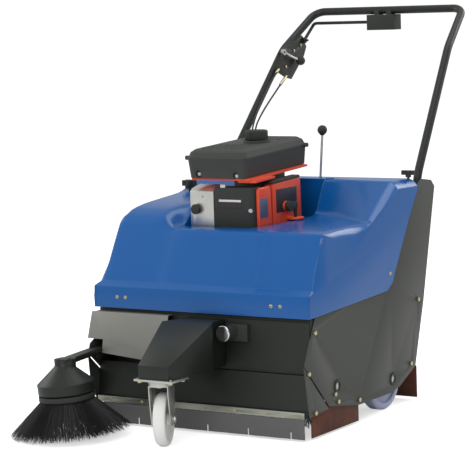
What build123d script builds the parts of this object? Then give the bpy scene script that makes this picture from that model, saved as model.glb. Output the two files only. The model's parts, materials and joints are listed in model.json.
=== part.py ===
"""Walk-behind sweeper with petrol engine: one node per piece, written to parts/NODE.step.

Building datum: x = 0 is the machine's centre plane, y = 0 the front lip of the hood with the
front facing -Y, z = 0 the floor. At the end everything moves so that the origin is the middle
of the assembly's footprint on the floor.
"""

import math
import os

from build123d import *

os.makedirs("parts", exist_ok=True)

# ---- driving dimensions, millimetres -------------------------------------------------
half_width = 390.0          # centre plane to the outside of the hood's side flange
hood_wall = 4.0
hood_bottom = 366.0         # lower edge of the hood's front lip
lip_top = 433.0
deck_front_y = 124.0        # top edge of the hood's front face
deck_z = 606.0              # front deck beside the engine
shoulder_z = 684.0          # left shoulder beside the engine, at its back end
rear_top_z = 722.0
rear_top_y = 590.0          # where the rear rise ends
hood_back_y = 712.0
recess_left, recess_right = -165.0, 100.0
recess_front, recess_back = 186.0, 625.0
recess_floor = 548.0

panel_sheet = 3.0           # side panels and their corner plates
bearing_seat_radius = 21.0   # holes in the side panels for the bearings
panel_gap = 1.0             # between the hood's flange and the side panel
front_sheet = 3.0
front_y = 10.0              # outer face of the front panels

flap_y = -22.0              # front face of the clamping strip
flap_sheet = 4.0
strip_sheet = 3.0
strip_low, strip_high = 70.0, 89.0
floor_gap = 8.0

broom_y, broom_z = 165.0, 139.0
broom_radius = 137.0
broom_core_radius = 45.0
broom_half = 332.0
broom_shaft_radius = 12.0
tunnel_radius = 149.0
tunnel_sheet = 2.0

wheel_radius = 100.0
wheel_width = 45.0
wheel_y = 520.0
wheel_x = 344.0
axle_radius = 12.0

caster_x, caster_y = 21.0, -252.0   # swivel axis
caster_heading = 22.0               # degrees, how far the caster is turned to the right at rest
caster_trail = 35.0
caster_radius = 80.0
caster_width = 36.0
caster_axle_radius = 6.0
kingpin_radius = 8.0
caster_plate_z = 203.0
caster_plate_sheet = 6.0

arm_pivot_y, arm_pivot_z = 35.0, 250.0
arm_x = -362.0
arm_half = 18.0
arm_pin_radius = 6.0
side_broom_x, side_broom_y = -331.0, -228.0
side_broom_radius = 195.0
side_broom_tilt = 4.0               # degrees, its inner side raised
side_broom_heading = 32.0           # degrees from +X to the raised side
side_disc_radius = 86.0
side_shaft_radius = 10.0

frame_z = 446.0                     # underside of the engine plate
frame_sheet = 4.0

hopper_front, hopper_back = 345.0, 690.0
hopper_low, hopper_high = 132.0, 352.0
hopper_half = 292.0
hopper_wall = 2.5

tube_radius = 13.5
tube_wall = 2.0
handle_base_x = 366.0
handle_pivot_y, handle_pivot_z = 741.0, 664.0
handle_pin_radius = 6.0
handle_knee = (322.0, 1084.0, 1127.0)
handle_top = (291.0, 1268.0, 1254.0)
handle_foot_z = 634.0

run_gap = 0.05                      # radial clearance of shafts, pins and bores
air_gap = 0.5                       # between neighbours that do not touch

panel_out = half_width - hood_wall - panel_gap
panel_in = panel_out - panel_sheet
frame_half = panel_in - air_gap

parts = {}


# ---- helpers -------------------------------------------------------------------------
def block(x0, x1, y0, y1, z0, z1):
    return Pos((x0 + x1) / 2, (y0 + y1) / 2, (z0 + z1) / 2) * Box(x1 - x0, y1 - y0, z1 - z0)


def prism_x(points, x0, x1):
    wire = Polyline(*[(x0, y, z) for y, z in points], close=True)
    return extrude(make_face(wire), amount=x1 - x0, dir=(1, 0, 0))


def prism_y(points, y0, y1):
    wire = Polyline(*[(x, y0, z) for x, z in points], close=True)
    return extrude(make_face(wire), amount=y1 - y0, dir=(0, 1, 0))


def prism_z(points, z0, z1):
    wire = Polyline(*[(x, y, z0) for x, y in points], close=True)
    return extrude(make_face(wire), amount=z1 - z0, dir=(0, 0, 1))


def rod(start, end, radius):
    run = Vector(*end) - Vector(*start)
    return extrude(Plane(origin=start, z_dir=run) * Circle(radius), amount=run.length)


def ring(start, end, outer, inner):
    return rod(start, end, outer) - rod(start, end, inner)


def bent_rod(points, radii, radius, wall=0.0):
    path = FilletPolyline(*points, radius=radii)
    section = Circle(radius)
    if wall:
        section = section - Circle(radius - wall)
    return sweep(Plane(origin=path @ 0, z_dir=path % 0) * section, path=path)


def turned(profile):
    """Solid of revolution about Z from (radius, z) points."""
    wire = Polyline(*[(r, 0, z) for r, z in profile], close=True)
    return revolve(make_face(wire), axis=Axis.Z)


def inset_chain(points, distance):
    """Open outline moved to its right-hand side by a distance, with mitred corners."""
    lines = []
    for (a, b), (c, d) in zip(points, points[1:]):
        length = math.hypot(c - a, d - b)
        right = ((d - b) / length * distance, -(c - a) / length * distance)
        lines.append(((a + right[0], b + right[1]), (c + right[0], d + right[1])))
    moved = [lines[0][0]]
    for ((a, b), (c, d)), ((e, f), (g, h)) in zip(lines, lines[1:]):
        cross = (c - a) * (h - f) - (d - b) * (g - e)
        share = ((e - a) * (h - f) - (f - b) * (g - e)) / cross
        moved.append((a + share * (c - a), b + share * (d - b)))
    return moved + [lines[-1][1]]


def sheet_x(points, thickness, x0, x1):
    """Bent sheet: an outline in Y and Z, thickened to its right, along X."""
    return prism_x(points + inset_chain(points, thickness)[::-1], x0, x1)


def hex_bolt(place, direction, flats=13.0, head=6.0, shank_radius=4.0, shank=6.0):
    """Hex head whose underside is at place, with its shank going the other way."""
    plane = Plane(origin=place, z_dir=direction)
    top = extrude(plane * RegularPolygon(flats / 2, 6, major_radius=False), amount=head)
    return top + extrude(plane * Circle(shank_radius), amount=-shank)


def round_screw(place, direction, radius=6.0, head=3.0, shank_radius=3.0, shank=4.0):
    plane = Plane(origin=place, z_dir=direction)
    top = extrude(plane * Circle(radius), amount=head)
    return top + extrude(plane * Circle(shank_radius), amount=-shank)


def bores(places, direction, radius, depth):
    """Cutters through both sides of each place."""
    cut = []
    for place in places:
        plane = Plane(origin=place, z_dir=direction)
        cut.append(extrude(plane * Circle(radius), amount=depth, both=True))
    return cut


def mirrored(solid):
    return solid.mirror(Plane.YZ)


# ---- hood ------------------------------------------------------------------------------
front_chain = [(0, hood_bottom), (2, lip_top), (34, lip_top + 13), (deck_front_y, deck_z)]
main_chain = front_chain + [(rear_top_y - 80, deck_z + 6), (rear_top_y, rear_top_z),
                            (hood_back_y, rear_top_z - 2)]
shoulder_chain = front_chain[:3] + [(134, 624), (150, 642), (192, 658), (290, 672),
                                    (rear_top_y - 80, shoulder_z), (rear_top_y, rear_top_z),
                                    (hood_back_y, rear_top_z - 2)]
flange_back = [(hood_back_y, rear_top_z - 14), (532, 422), (492, 386)]
shoulder_out = half_width - 10
corner_in = 15.0            # how far the front corner's top stands inside the flange


def hood_body(inset):
    half = half_width - inset
    if inset:
        low = hood_bottom - 60
        main = inset_chain(main_chain, inset)
        side = inset_chain(shoulder_chain, inset)
        main = main + [(hood_back_y + 60, main[-1][1]), (hood_back_y + 60, low), (main[0][0], low)]
        side = side + [(hood_back_y + 60, side[-1][1]), (hood_back_y + 60, low), (side[0][0], low)]
    else:
        main = main_chain + flange_back
        side = shoulder_chain + flange_back
    body = prism_x(main, -half, half)
    body += prism_x(side, -shoulder_out + inset, recess_left + inset * 0.5)
    # the cheeks: each front corner leans inwards above a crease on the flange
    crease_low = Vector(half, 5, lip_top + 3)
    crease_high = Vector(half, 427, 636)
    corner_top = Vector(half - corner_in, deck_front_y, deck_z)
    normal = (crease_high - crease_low).cross(corner_top - crease_low)
    if normal.X < 0:
        normal = normal * -1
    cheek = extrude(Plane(origin=crease_low, z_dir=normal) * Rectangle(2400, 2400), amount=300)
    cheek &= block(0, half_width + 100, -200, 600, lip_top + 3, 700)
    return body - cheek - mirrored(cheek)


hood = hood_body(0) - hood_body(hood_wall)
well = block(recess_left, recess_right, recess_front, recess_back, recess_floor, 900)
well_wall = block(recess_left - hood_wall, recess_right + hood_wall, recess_front - hood_wall,
                  recess_back + hood_wall, recess_floor, 900) - well
hood += well_wall & hood_body(0)
hood -= block(recess_left, recess_right, recess_front, recess_back, recess_floor - 20, 900)

lever_x, lever_y, lever_pivot_z = 55.0, 665.0, 600.0
hood -= block(lever_x - 8, lever_x + 8, 636, 704, 690, 800)

knob_x, knob_y = handle_base_x, 692.0
clamp_screw_radius = 4.0
for sign in (-1, 1):
    hood -= bores([(sign * knob_x, knob_y, rear_top_z)], (0, 0, 1), clamp_screw_radius + 1, 20)[0]
star_x, star_y = -348.0, 500.0
star_screw_radius = 4.0
hood -= bores([(star_x, star_y, shoulder_z)], (0, 0, 1), star_screw_radius + 0.5, 20)[0]
lip_screws = [(-302, 1, 400), (-271, 1, 400), (258, 1, 400), (290, 1, 400)]
flange_screws = [(sign * half_width, 508, 438) for sign in (-1, 1)]
screw_shank_radius = 3.0
hood -= bores(lip_screws, (0, 1, 0), screw_shank_radius, 8)
hood -= bores(flange_screws, (1, 0, 0), screw_shank_radius, 8)
parts["hood"] = hood

m6_screws = [round_screw((x, y - 0.3, z), (0, -1, 0)) for x, y, z in lip_screws]
m6_screws += [round_screw(p, (math.copysign(1, p[0]), 0, 0)) for p in flange_screws]

# ---- side panels, corner plates, frame, front sheets -----------------------------------------
panel_outline = [(66, 430), (30, 343), (-29, 230), (112, 86), (290, 58), (507, 58), (563, 68),
                 (675, 117), (742, 321), (837, 684), (814, 706), (743, 716), (716, 700),
                 (520, 430)]
corner_outline = [(-31, 226), (-7, 71), (107, 80)]
left_outline = [(66, 430), (30, 343), (-18, 268), (-42, 256), (-52, 225)] + panel_outline[3:]
left_corner_outline = [(-54, 221), (-46, 140), (-14, 71), (107, 80)]
bearing_bores = bores([(panel_out, wheel_y, wheel_radius), (panel_out, broom_y, broom_z)],
                      (1, 0, 0), bearing_seat_radius, 20)
side_panel = prism_x(panel_outline, panel_in, panel_out) - bearing_bores
left_panel = mirrored(prism_x(left_outline, panel_in, panel_out) - bearing_bores)
left_panel -= bores([(-panel_out, arm_pivot_y, arm_pivot_z)], (1, 0, 0), arm_pin_radius, 20)
panel_bolt_places = [(34, 322), (145, 118), (163, 92), (294, 74), (700, 330), (640, 130)]
corner_bolts = [(-8, 205), (25, 82)]
bolt_places = panel_bolt_places + corner_bolts
bolt_radius = 4.0
side_panel -= bores([(panel_out, y, z) for y, z in bolt_places], (1, 0, 0), bolt_radius, 20)
left_panel -= bores([(-panel_out, y, z) for y, z in bolt_places], (1, 0, 0), bolt_radius, 20)
corners = []
for outline in (corner_outline, left_corner_outline):
    plate = prism_x(outline, panel_in, panel_out)
    corners.append(plate - bores([(panel_out, y, z) for y, z in corner_bolts], (1, 0, 0),
                                 bolt_radius, 20))
parts["side_panel_right"] = side_panel
parts["side_panel_left"] = left_panel
parts["corner_plates"] = [corners[0], mirrored(corners[1])]

bolts = []
for y, z in bolt_places:
    bolts.append(hex_bolt((panel_out, y, z), (1, 0, 0), shank=panel_sheet))
    bolts.append(hex_bolt((-panel_out, y, z), (-1, 0, 0), shank=panel_sheet))

frame_profile = [(16, 322), (16, 362), (46, 362), (46, frame_z + frame_sheet),
                 (690, frame_z + frame_sheet), (690, frame_z), (50, frame_z), (50, 322)]
frame = prism_x(frame_profile, -frame_half, frame_half)
for sign in (-1, 1):
    frame += block(sign * 200 - 2, sign * 200 + 2, 50, 640, frame_z - 40, frame_z)
parts["frame"] = frame

split_x = -104.0
front_high = 354.0
# grey plate: leans forward from a folded top, cut out at its outer lower corner for the arm
grey_y, grey_lean = -13.0, 10.9
notch_right, notch_top = -342.0, 268.0
grey_outline = [(-401, notch_top), (-392, front_high), (split_x - air_gap, front_high),
                (split_x - air_gap, 206), (notch_right, 226), (notch_right, notch_top)]
grey_plate = prism_y(grey_outline, 0, front_sheet)
grey_plate = Pos(0, grey_y, front_high) * Rot(-grey_lean, 0, 0) * Pos(0, 0, -front_high) * grey_plate
grey_plate += block(-frame_half, split_x - air_gap, grey_y + 0.5, front_y + front_sheet,
                    front_high - front_sheet, front_high)
parts["front_panel_grey"] = grey_plate
parts["front_panel_black"] = block(split_x, frame_half, front_y, front_y + front_sheet, 197,
                                   front_high)
parts["apron"] = sheet_x([(front_y + front_sheet, 196), (front_y - 5, 196), (flap_y + 16, 92),
                          (flap_y + 7.5, 88), (flap_y + 7.5, strip_low)], -front_sheet, -frame_half,
                         frame_half)

strip_half = 375.0
strip = block(-strip_half, strip_half, flap_y, flap_y + strip_sheet, strip_low, strip_high)
flap_screw_xs = [-326, -208, 20, 132, 240, 348]
flap_screw_radius = 2.5
strip_mid = (strip_low + strip_high) / 2
flap_screw_places = [(x, flap_y, strip_mid) for x in flap_screw_xs]
parts["flap_strip"] = strip - bores(flap_screw_places, (0, 1, 0), flap_screw_radius, 9)
parts["flap_screws"] = [round_screw(p, (0, -1, 0), 4.5, 2.0, flap_screw_radius, strip_sheet)
                        for p in flap_screw_places]
flap_pivot_z = strip_low - 3
parts["front_flap"] = block(-strip_half + 1, strip_half - 1, flap_y, flap_y + flap_sheet,
                            floor_gap, strip_low - 1.5)

skirt_x = panel_in - 6
skirt_right = block(skirt_x, skirt_x + 4, 14, 300, 7, 104)
rear_skirt = block(-panel_in + 8, panel_in - 8, 700, 704, 8, 112)
parts["rubber_skirts"] = [skirt_right, mirrored(skirt_right), rear_skirt]

# ---- rear panel with its folded top ----------------------------------------------------------
rear_panel_low = hopper_high + 10
rear_chain = [(750, rear_panel_low), (829, 683), (811, 702), (718, 714)]
rear_panel = sheet_x(rear_chain, -front_sheet, -frame_half, frame_half)
slot_in = handle_base_x - tube_radius - 3
for sign in (-1, 1):
    low, high = sorted((sign * slot_in, sign * (frame_half + 5)))
    rear_panel -= block(low, high, 700, 812, 640, 730)
parts["rear_panel"] = rear_panel

# ---- broom tunnel, main broom, its drive -----------------------------------------------------
tunnel_outer = rod((-frame_half, broom_y, broom_z), (frame_half, broom_y, broom_z),
                   tunnel_radius + tunnel_sheet)
tunnel_inner = rod((-frame_half, broom_y, broom_z), (frame_half, broom_y, broom_z), tunnel_radius)
tunnel = tunnel_outer - tunnel_inner
tunnel &= prism_x([(broom_y, broom_z), (broom_y + 300, broom_z + 330), (broom_y - 80, 330 + broom_z),
                   (broom_y - 300, broom_z + 260), (broom_y - 300, broom_z + 40)],
                  -frame_half, frame_half)
parts["broom_tunnel"] = tunnel

bearing_out = bearing_seat_radius - 0.1
bearing_length = 22.0


def flanged_bearing(y, z, bore, sign):
    face = sign * panel_in
    body = ring((face - sign * bearing_length, y, z), (face + sign * 5, y, z), bearing_out,
                bore + run_gap)
    flange = ring((face - sign * (air_gap + 4), y, z), (face - sign * air_gap, y, z), 32,
                  bore + run_gap)
    return body + flange


bearings = []
for sign in (-1, 1):
    bearings.append(flanged_bearing(broom_y, broom_z, broom_shaft_radius, sign))
    bearings.append(flanged_bearing(wheel_y, wheel_radius, axle_radius, sign))
parts["bearings"] = bearings

core = rod((-broom_half, broom_y, broom_z), (broom_half, broom_y, broom_z), broom_core_radius)
parts["broom_core"] = core + rod((-panel_in - 2, broom_y, broom_z), (panel_in + 2, broom_y, broom_z),
                                 broom_shaft_radius)
bristle_ring = ring((-broom_half + 4, broom_y, broom_z), (broom_half - 4, broom_y, broom_z),
                    broom_radius, broom_core_radius)
parts["broom_bristles"] = bristle_ring

belt_x = -346.0
pulley_half = 6.0
broom_pulley_radius = 75.0
engine_pulley_radius = 40.0
engine_axis_y, engine_axis_z = 400.0, 526.0


def pulley(y, z, outer, bore):
    rim = 4.0
    profile = [(bore, -pulley_half - 2), (outer, -pulley_half - 2), (outer, -pulley_half),
               (outer - rim, 0), (outer, pulley_half), (outer, pulley_half + 2),
               (bore, pulley_half + 2)]
    plane = Plane(origin=(belt_x, y, z), z_dir=(1, 0, 0), x_dir=(0, 1, 0))
    return plane * turned(profile)


parts["broom_pulley"] = pulley(broom_y, broom_z, broom_pulley_radius, broom_shaft_radius)
engine_shaft = rod((belt_x - 12, engine_axis_y, engine_axis_z), (-151, engine_axis_y, engine_axis_z),
                   12)
parts["engine_pulley"] = engine_shaft + pulley(engine_axis_y, engine_axis_z,
                                               engine_pulley_radius, 0)


def belt_loop(grow):
    """Outline round both pulleys: two circles and the quadrilateral between their tangents."""
    big, small = broom_pulley_radius + grow, engine_pulley_radius + grow
    run_y, run_z = engine_axis_y - broom_y, engine_axis_z - broom_z
    reach = math.hypot(run_y, run_z)
    lean = math.acos((big - small) / reach)
    heading = math.atan2(run_z, run_y)
    corners = []
    for turn, centre, radius in ((lean, (broom_y, broom_z), big),
                                 (lean, (engine_axis_y, engine_axis_z), small),
                                 (-lean, (engine_axis_y, engine_axis_z), small),
                                 (-lean, (broom_y, broom_z), big)):
        corners.append((centre[0] + radius * math.cos(heading + turn),
                        centre[1] + radius * math.sin(heading + turn)))
    x0, x1 = belt_x - pulley_half + 1.5, belt_x + pulley_half - 1.5
    loop = prism_x(corners, x0, x1)
    loop += rod((x0, broom_y, broom_z), (x1, broom_y, broom_z), big)
    return loop + rod((x0, engine_axis_y, engine_axis_z), (x1, engine_axis_y, engine_axis_z), small)


parts["broom_belt"] = belt_loop(6.0) - belt_loop(air_gap)
# belt slot in the frame's plate and the tunnel, where the belt passes
belt_slot = block(belt_x - 16, belt_x + 16, 60, 460, frame_z - 5, frame_z + 10)
parts["frame"] -= belt_slot
parts["broom_tunnel"] -= block(-frame_half - 1, belt_x + 14, 0, 500, 0, 400)

# ---- rear wheels on their axle ---------------------------------------------------------------
parts["rear_axle"] = rod((-panel_in - 2, wheel_y, wheel_radius), (panel_in + 2, wheel_y, wheel_radius),
                         axle_radius)
hub_half = wheel_width / 2 - 4
wheel_profile = [(axle_radius, -hub_half - 4), (28, -hub_half - 4), (28, -hub_half + 6),
                 (78, -hub_half + 6), (78, -wheel_width / 2), (wheel_radius - 6, -wheel_width / 2),
                 (wheel_radius, -wheel_width / 2 + 8), (wheel_radius, wheel_width / 2 - 8),
                 (wheel_radius - 6, wheel_width / 2), (78, wheel_width / 2), (78, hub_half - 6),
                 (28, hub_half - 6), (28, hub_half + 4), (axle_radius, hub_half + 4)]
rear_wheels = []
for sign in (-1, 1):
    plane = Plane(origin=(sign * (wheel_x - 8), wheel_y, wheel_radius), z_dir=(1, 0, 0))
    rear_wheels.append(plane * turned(wheel_profile))
parts["rear_wheels"] = rear_wheels

# ---- hopper and dust filter ------------------------------------------------------------------
hopper_profile = [(hopper_front, hopper_low), (hopper_front, hopper_high),
                  (hopper_back, hopper_high), (hopper_back, hopper_low)]
hopper = prism_x(hopper_profile, -hopper_half, hopper_half)
hopper -= block(-hopper_half + hopper_wall, hopper_half - hopper_wall, hopper_front - 5,
                hopper_back - hopper_wall, hopper_low + hopper_wall, hopper_high + 5)
hopper += block(-hopper_half, hopper_half, hopper_front, hopper_front + hopper_wall, hopper_low, 150)
grip_path = [(-70, hopper_back - 1, 300), (-70, hopper_back + 28, 300), (70, hopper_back + 28, 300),
             (70, hopper_back - 1, 300)]
parts["hopper"] = hopper + bent_rod(grip_path, [12, 12], 5)
filter_box = block(-250, 250, 350, 640, 362, frame_z - 42)
for step in range(12):
    y = 362 + step * 23
    filter_box -= block(-242, 242, y, y + 10, 370, frame_z - 30)
parts["dust_filter"] = filter_box

# ---- caster -----------------------------------------------------------------------------------
heading = math.radians(caster_heading)
forward = (math.sin(heading), -math.cos(heading))
across = (math.cos(heading), math.sin(heading))
caster_base = (caster_x, caster_y)


def caster_at(along, side, z):
    """Point in the caster's own directions: along its heading, to its right, up."""
    return (caster_x + forward[0] * along + across[0] * side,
            caster_y + forward[1] * along + across[1] * side, z)


bracket_back, bracket_bend, bracket_front = 4.0, -100.0, -285.0
bracket_wide, bracket_narrow = 88.0, 53.0       # half widths behind the bend and at the front
bracket_wall = 4.0
bracket_low = caster_plate_z + caster_plate_sheet


def bracket_body(wall, back):
    """The bracket's outer shape, or the room inside it at a wall thickness."""
    front, bend = bracket_front + wall, bracket_bend + wall * 0.25
    wide, narrow = bracket_wide - wall, bracket_narrow - wall
    half = [(narrow, front), (wide, bend), (wide - 20, bend + 40), (wide - 20, back)]
    plan = [(caster_x + x, y) for x, y in half] + [(caster_x - x, y) for x, y in half[::-1]]
    low, high = bracket_low + wall, 352 - wall
    side = [(back, low), (back, high), (bend, high), (front, 250 - wall * 0.75), (front, low)]
    return prism_z(plan, low, high) & prism_x(side, -200, 200)


bracket = bracket_body(0, bracket_back) - bracket_body(bracket_wall, bracket_back + 26)
plate_half_x, plate_half_y = 68.0, 45.0
plate_bolts = [(caster_x + sx * 54, caster_y + 8 + sy * 32) for sx in (-1, 1) for sy in (-1, 1)]
bracket -= bores([(x, y, bracket_low) for x, y in plate_bolts], (0, 0, 1), bolt_radius, 8)
parts["caster_bracket"] = bracket
caster_plate = block(caster_x - plate_half_x, caster_x + plate_half_x, caster_y + 8 - plate_half_y,
                     caster_y + 8 + plate_half_y, caster_plate_z, bracket_low)
caster_plate -= bores([(x, y, bracket_low) for x, y in plate_bolts], (0, 0, 1), bolt_radius, 8)
kingpin_low = caster_plate_z - 16
caster_plate += rod((caster_x, caster_y, kingpin_low), (caster_x, caster_y, caster_plate_z + 1),
                    kingpin_radius)
caster_plate += rod((caster_x, caster_y, kingpin_low - 5), (caster_x, caster_y, kingpin_low), 13)
parts["caster_plate"] = caster_plate
for x, y in plate_bolts:
    bolts.append(hex_bolt((x, y, caster_plate_z), (0, 0, -1), shank=caster_plate_sheet + 4))

fork_top = caster_plate_z - air_gap
head = rod((caster_x, caster_y, fork_top - 15), (caster_x, caster_y, fork_top), 34)
leg_in = caster_width / 2 + 9
leg_out = leg_in + 3
axle_along = -caster_trail
fork = head
crown = prism_z([caster_at(26, leg_out, 0)[:2], caster_at(26, -leg_out, 0)[:2],
                 caster_at(-58, -leg_out, 0)[:2], caster_at(-58, leg_out, 0)[:2]],
                fork_top - 16, fork_top - 12)
fork += crown
for side in (-1, 1):
    plan = [caster_at(a, s, 0)[:2] for a, s in ((-62, leg_in * side), (26, leg_in * side),
                                                (26, leg_out * side), (-62, leg_out * side))]
    leg = prism_z(plan, caster_radius - 16, fork_top - 12)
    for along_top, along_low in ((26, axle_along + 34), (-62, axle_along - 22)):
        sign = 1 if along_low > axle_along else -1
        cut = [caster_at(along_top, 80, fork_top - 40), caster_at(along_low, 80, caster_radius - 18),
               caster_at(along_low + sign * 90, 80, caster_radius - 18),
               caster_at(along_top + sign * 90, 80, fork_top - 40)]
        wire = Polyline(*cut, close=True)
        leg -= extrude(make_face(wire), amount=160, dir=(-across[0], -across[1], 0))
    fork += leg
fork -= rod((caster_x, caster_y, fork_top - 30), (caster_x, caster_y, fork_top + 5),
            kingpin_radius + run_gap)
nut_room = rod((caster_x, caster_y, kingpin_low - 6), (caster_x, caster_y, kingpin_low + 0.5), 15)
fork -= nut_room
axle_z = caster_radius
fork -= rod(caster_at(axle_along, -60, axle_z), caster_at(axle_along, 60, axle_z), caster_axle_radius)
parts["caster_fork"] = fork
axle = rod(caster_at(axle_along, -leg_out - 8, axle_z), caster_at(axle_along, leg_out + 8, axle_z),
           caster_axle_radius)
for side in (-1, 1):
    nut_plane = Plane(origin=caster_at(axle_along, side * leg_out, axle_z),
                      z_dir=(across[0] * side, across[1] * side, 0))
    axle += extrude(nut_plane * RegularPolygon(9, 6, major_radius=False), amount=7)
parts["caster_axle"] = axle
roller_half = caster_width / 2
roller_profile = [(caster_axle_radius + run_gap, -leg_in + 1), (16, -leg_in + 1), (16, -roller_half + 6),
                  (58, -roller_half + 6), (62, -roller_half), (caster_radius - 6, -roller_half),
                  (caster_radius, -roller_half + 9), (caster_radius, roller_half - 9),
                  (caster_radius - 6, roller_half), (62, roller_half), (58, roller_half - 6),
                  (16, roller_half - 6), (16, leg_in - 1), (caster_axle_radius + run_gap, leg_in - 1)]
roller_plane = Plane(origin=caster_at(axle_along, 0, axle_z), z_dir=(across[0], across[1], 0))
parts["caster_wheel"] = roller_plane * turned(roller_profile)

# ---- side broom and its lifting arm ------------------------------------------------------------
raised = math.radians(side_broom_heading)
tilt = math.radians(side_broom_tilt)
broom_axis = (-math.sin(tilt) * math.cos(raised), -math.sin(tilt) * math.sin(raised), math.cos(tilt))
broom_foot = (side_broom_x, side_broom_y, side_broom_radius * math.sin(tilt) + 1.5)
broom_plane = Plane(origin=broom_foot, z_dir=broom_axis)
disc_low, disc_high = 104.0, 120.0
cover_low, cover_high = 125.0, 228.0
bristle_profile = [(60, disc_low - 0.5), (side_disc_radius - 6, disc_low - 0.5),
                   (side_broom_radius - 3, 8), (side_broom_radius, 0), (128, 0), (62, 70)]
parts["side_broom_bristles"] = broom_plane * turned(bristle_profile)
disc_profile = [(0, disc_low), (side_disc_radius, disc_low), (side_disc_radius, disc_high),
                (30, disc_high), (30, disc_high + 3), (side_shaft_radius, disc_high + 3),
                (side_shaft_radius, cover_high - 24), (0, cover_high - 24)]
parts["side_broom_disc"] = broom_plane * turned(disc_profile)
cover_profile = [(side_disc_radius, cover_low), (side_disc_radius + 1, 155), (30, 205), (27, 210),
                 (27, cover_high), (0, cover_high), (0, cover_high - 22),
                 (side_shaft_radius + run_gap, cover_high - 22), (side_shaft_radius + run_gap, 184),
                 (34, 184), (side_disc_radius - 5, 151), (side_disc_radius - 4, cover_low)]
cover = broom_plane * turned(cover_profile)
arm_bend_y, arm_tip_y = -60.0, side_broom_y - 30
rib_low, arm_high, arm_sheet = 226.0, 243.0, 4.0


def arm_edge(offset, tip_y):
    """Points along the arm at a distance from its middle line, from its pivot to its tip."""
    tip_x = side_broom_x + offset
    share = (tip_y - arm_bend_y) / (arm_tip_y - arm_bend_y)
    return [(arm_x + offset, arm_pivot_y - 6), (arm_x + offset, arm_bend_y),
            (arm_x + offset + share * (tip_x - arm_x - offset), tip_y)]


top_sheet = prism_z(arm_edge(-arm_half, arm_tip_y) + arm_edge(arm_half, arm_tip_y)[::-1],
                    arm_high - arm_sheet, arm_high)
side_ribs = prism_z(arm_edge(-arm_half, -200) + arm_edge(4 - arm_half, -200)[::-1], rib_low, arm_high)
side_ribs += prism_z(arm_edge(arm_half - 4, -200) + arm_edge(arm_half, -200)[::-1], rib_low, arm_high)
eye_start = (arm_x - arm_half + 2, arm_pivot_y, arm_pivot_z)
eye_end = (arm_x + arm_half - 2, arm_pivot_y, arm_pivot_z)
arm = top_sheet + side_ribs + rod(eye_start, eye_end, 13)
neck = rod((side_broom_x, side_broom_y, 216), (side_broom_x, side_broom_y, arm_high), 24)
arm += neck
arm -= rod((arm_x - 40, arm_pivot_y, arm_pivot_z), (arm_x + 40, arm_pivot_y, arm_pivot_z),
           arm_pin_radius + run_gap)
shaft_room = broom_plane * turned([(0, cover_low), (side_shaft_radius + run_gap, cover_low),
                                   (side_shaft_radius + run_gap, cover_high - 22),
                                   (0, cover_high - 22)])
parts["side_arm"] = (arm + cover) - shaft_room
ear = block(arm_x + arm_half + 2, arm_x + arm_half + 6, front_y + front_sheet, 46, 236, 322)
parts["frame"] += ear
pivot_bolt = rod((-panel_out - 1, arm_pivot_y, arm_pivot_z), (arm_x + arm_half + 14, arm_pivot_y,
                                                            arm_pivot_z), arm_pin_radius)
parts["frame"] -= pivot_bolt
head_plane = Plane(origin=(-panel_out, arm_pivot_y, arm_pivot_z), z_dir=(-1, 0, 0))
pivot_bolt += extrude(head_plane * RegularPolygon(9, 6, major_radius=False), amount=8)
bolts.append(pivot_bolt)
parts["hex_bolts"] = bolts

# ---- front knob --------------------------------------------------------------------------------
front_knob_x, front_knob_z = 122.0, 318.0
knob_block = block(98, 174, front_y - 14, front_y, 288, 340)
knob_block += rod((front_knob_x, front_y - 60, front_knob_z), (front_knob_x, front_y - 10, front_knob_z),
                  19)
spindle_radius = 5.0
knob_block -= rod((front_knob_x, front_y - 70, front_knob_z), (front_knob_x, front_y - 20,
                                                             front_knob_z), spindle_radius + run_gap)
parts["knob_block"] = knob_block
front_knob = rod((front_knob_x, front_y - 70, front_knob_z), (front_knob_x, front_y - 60.5,
                                                            front_knob_z), 24)
front_knob += rod((front_knob_x, front_y - 61, front_knob_z), (front_knob_x, front_y - 22,
                                                             front_knob_z), spindle_radius)
parts["front_knob"] = front_knob

# ---- engine ------------------------------------------------------------------------------------
plate_top = frame_z + frame_sheet
engine_left, engine_right = -150.0, 90.0
engine_front = 202.0
block_solid = block(engine_left, 60, 260, 470, plate_top, 700)
block_solid += block(-120, 40, 240, 540, plate_top, plate_top + 20)
engine_support = block(-110, 20, 400, 500, 690, 800)
block_solid += block(-130, -98, 498, 570, 714, 718)
block_solid += block(-130, -98, 566, 570, 714, 732)
parts["engine_block"] = block_solid - rod((-160, engine_axis_y, engine_axis_z),
                                          (-60, engine_axis_y, engine_axis_z), 12 + run_gap)
engine_shaft_tip = rod((-151, engine_axis_y, engine_axis_z), (-70, engine_axis_y, engine_axis_z), 12)
parts["engine_pulley"] += engine_shaft_tip
knob_spot = (-126, engine_front, 660)
knob_stud = 4.0
cleaner = prism_x([(engine_front, 566), (engine_front, 716), (engine_front + 12, 724),
                   (engine_front + 57, 734), (engine_front + 57, 566)], engine_left, -64)
cleaner -= rod((knob_spot[0], engine_front - 5, knob_spot[2]), (knob_spot[0], engine_front + 20,
                                                               knob_spot[2]), knob_stud + run_gap)
parts["air_cleaner_box"] = cleaner
cover_right = 78.0
cover_plan = [(-62, engine_front), (cover_right - 34, engine_front),
              (cover_right - 16, engine_front + 4), (cover_right - 4, engine_front + 12),
              (cover_right, engine_front + 20), (cover_right, engine_front + 57),
              (-62, engine_front + 57)]
parts["engine_front_cover"] = prism_z(cover_plan, 566, 730)
side_shroud = prism_x([(engine_front + 21, 566), (engine_front + 21, 720), (engine_front + 26, 727),
                       (286, 729), (296, 722), (304, 566)], cover_right + 1, engine_right)
side_shroud += prism_x([(262, 566), (262, 722), (296, 722), (304, 566)], 61, cover_right + 1.5)
parts["engine_side_shroud"] = side_shroud
housing_front, housing_back = 308.0, 478.0
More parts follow.
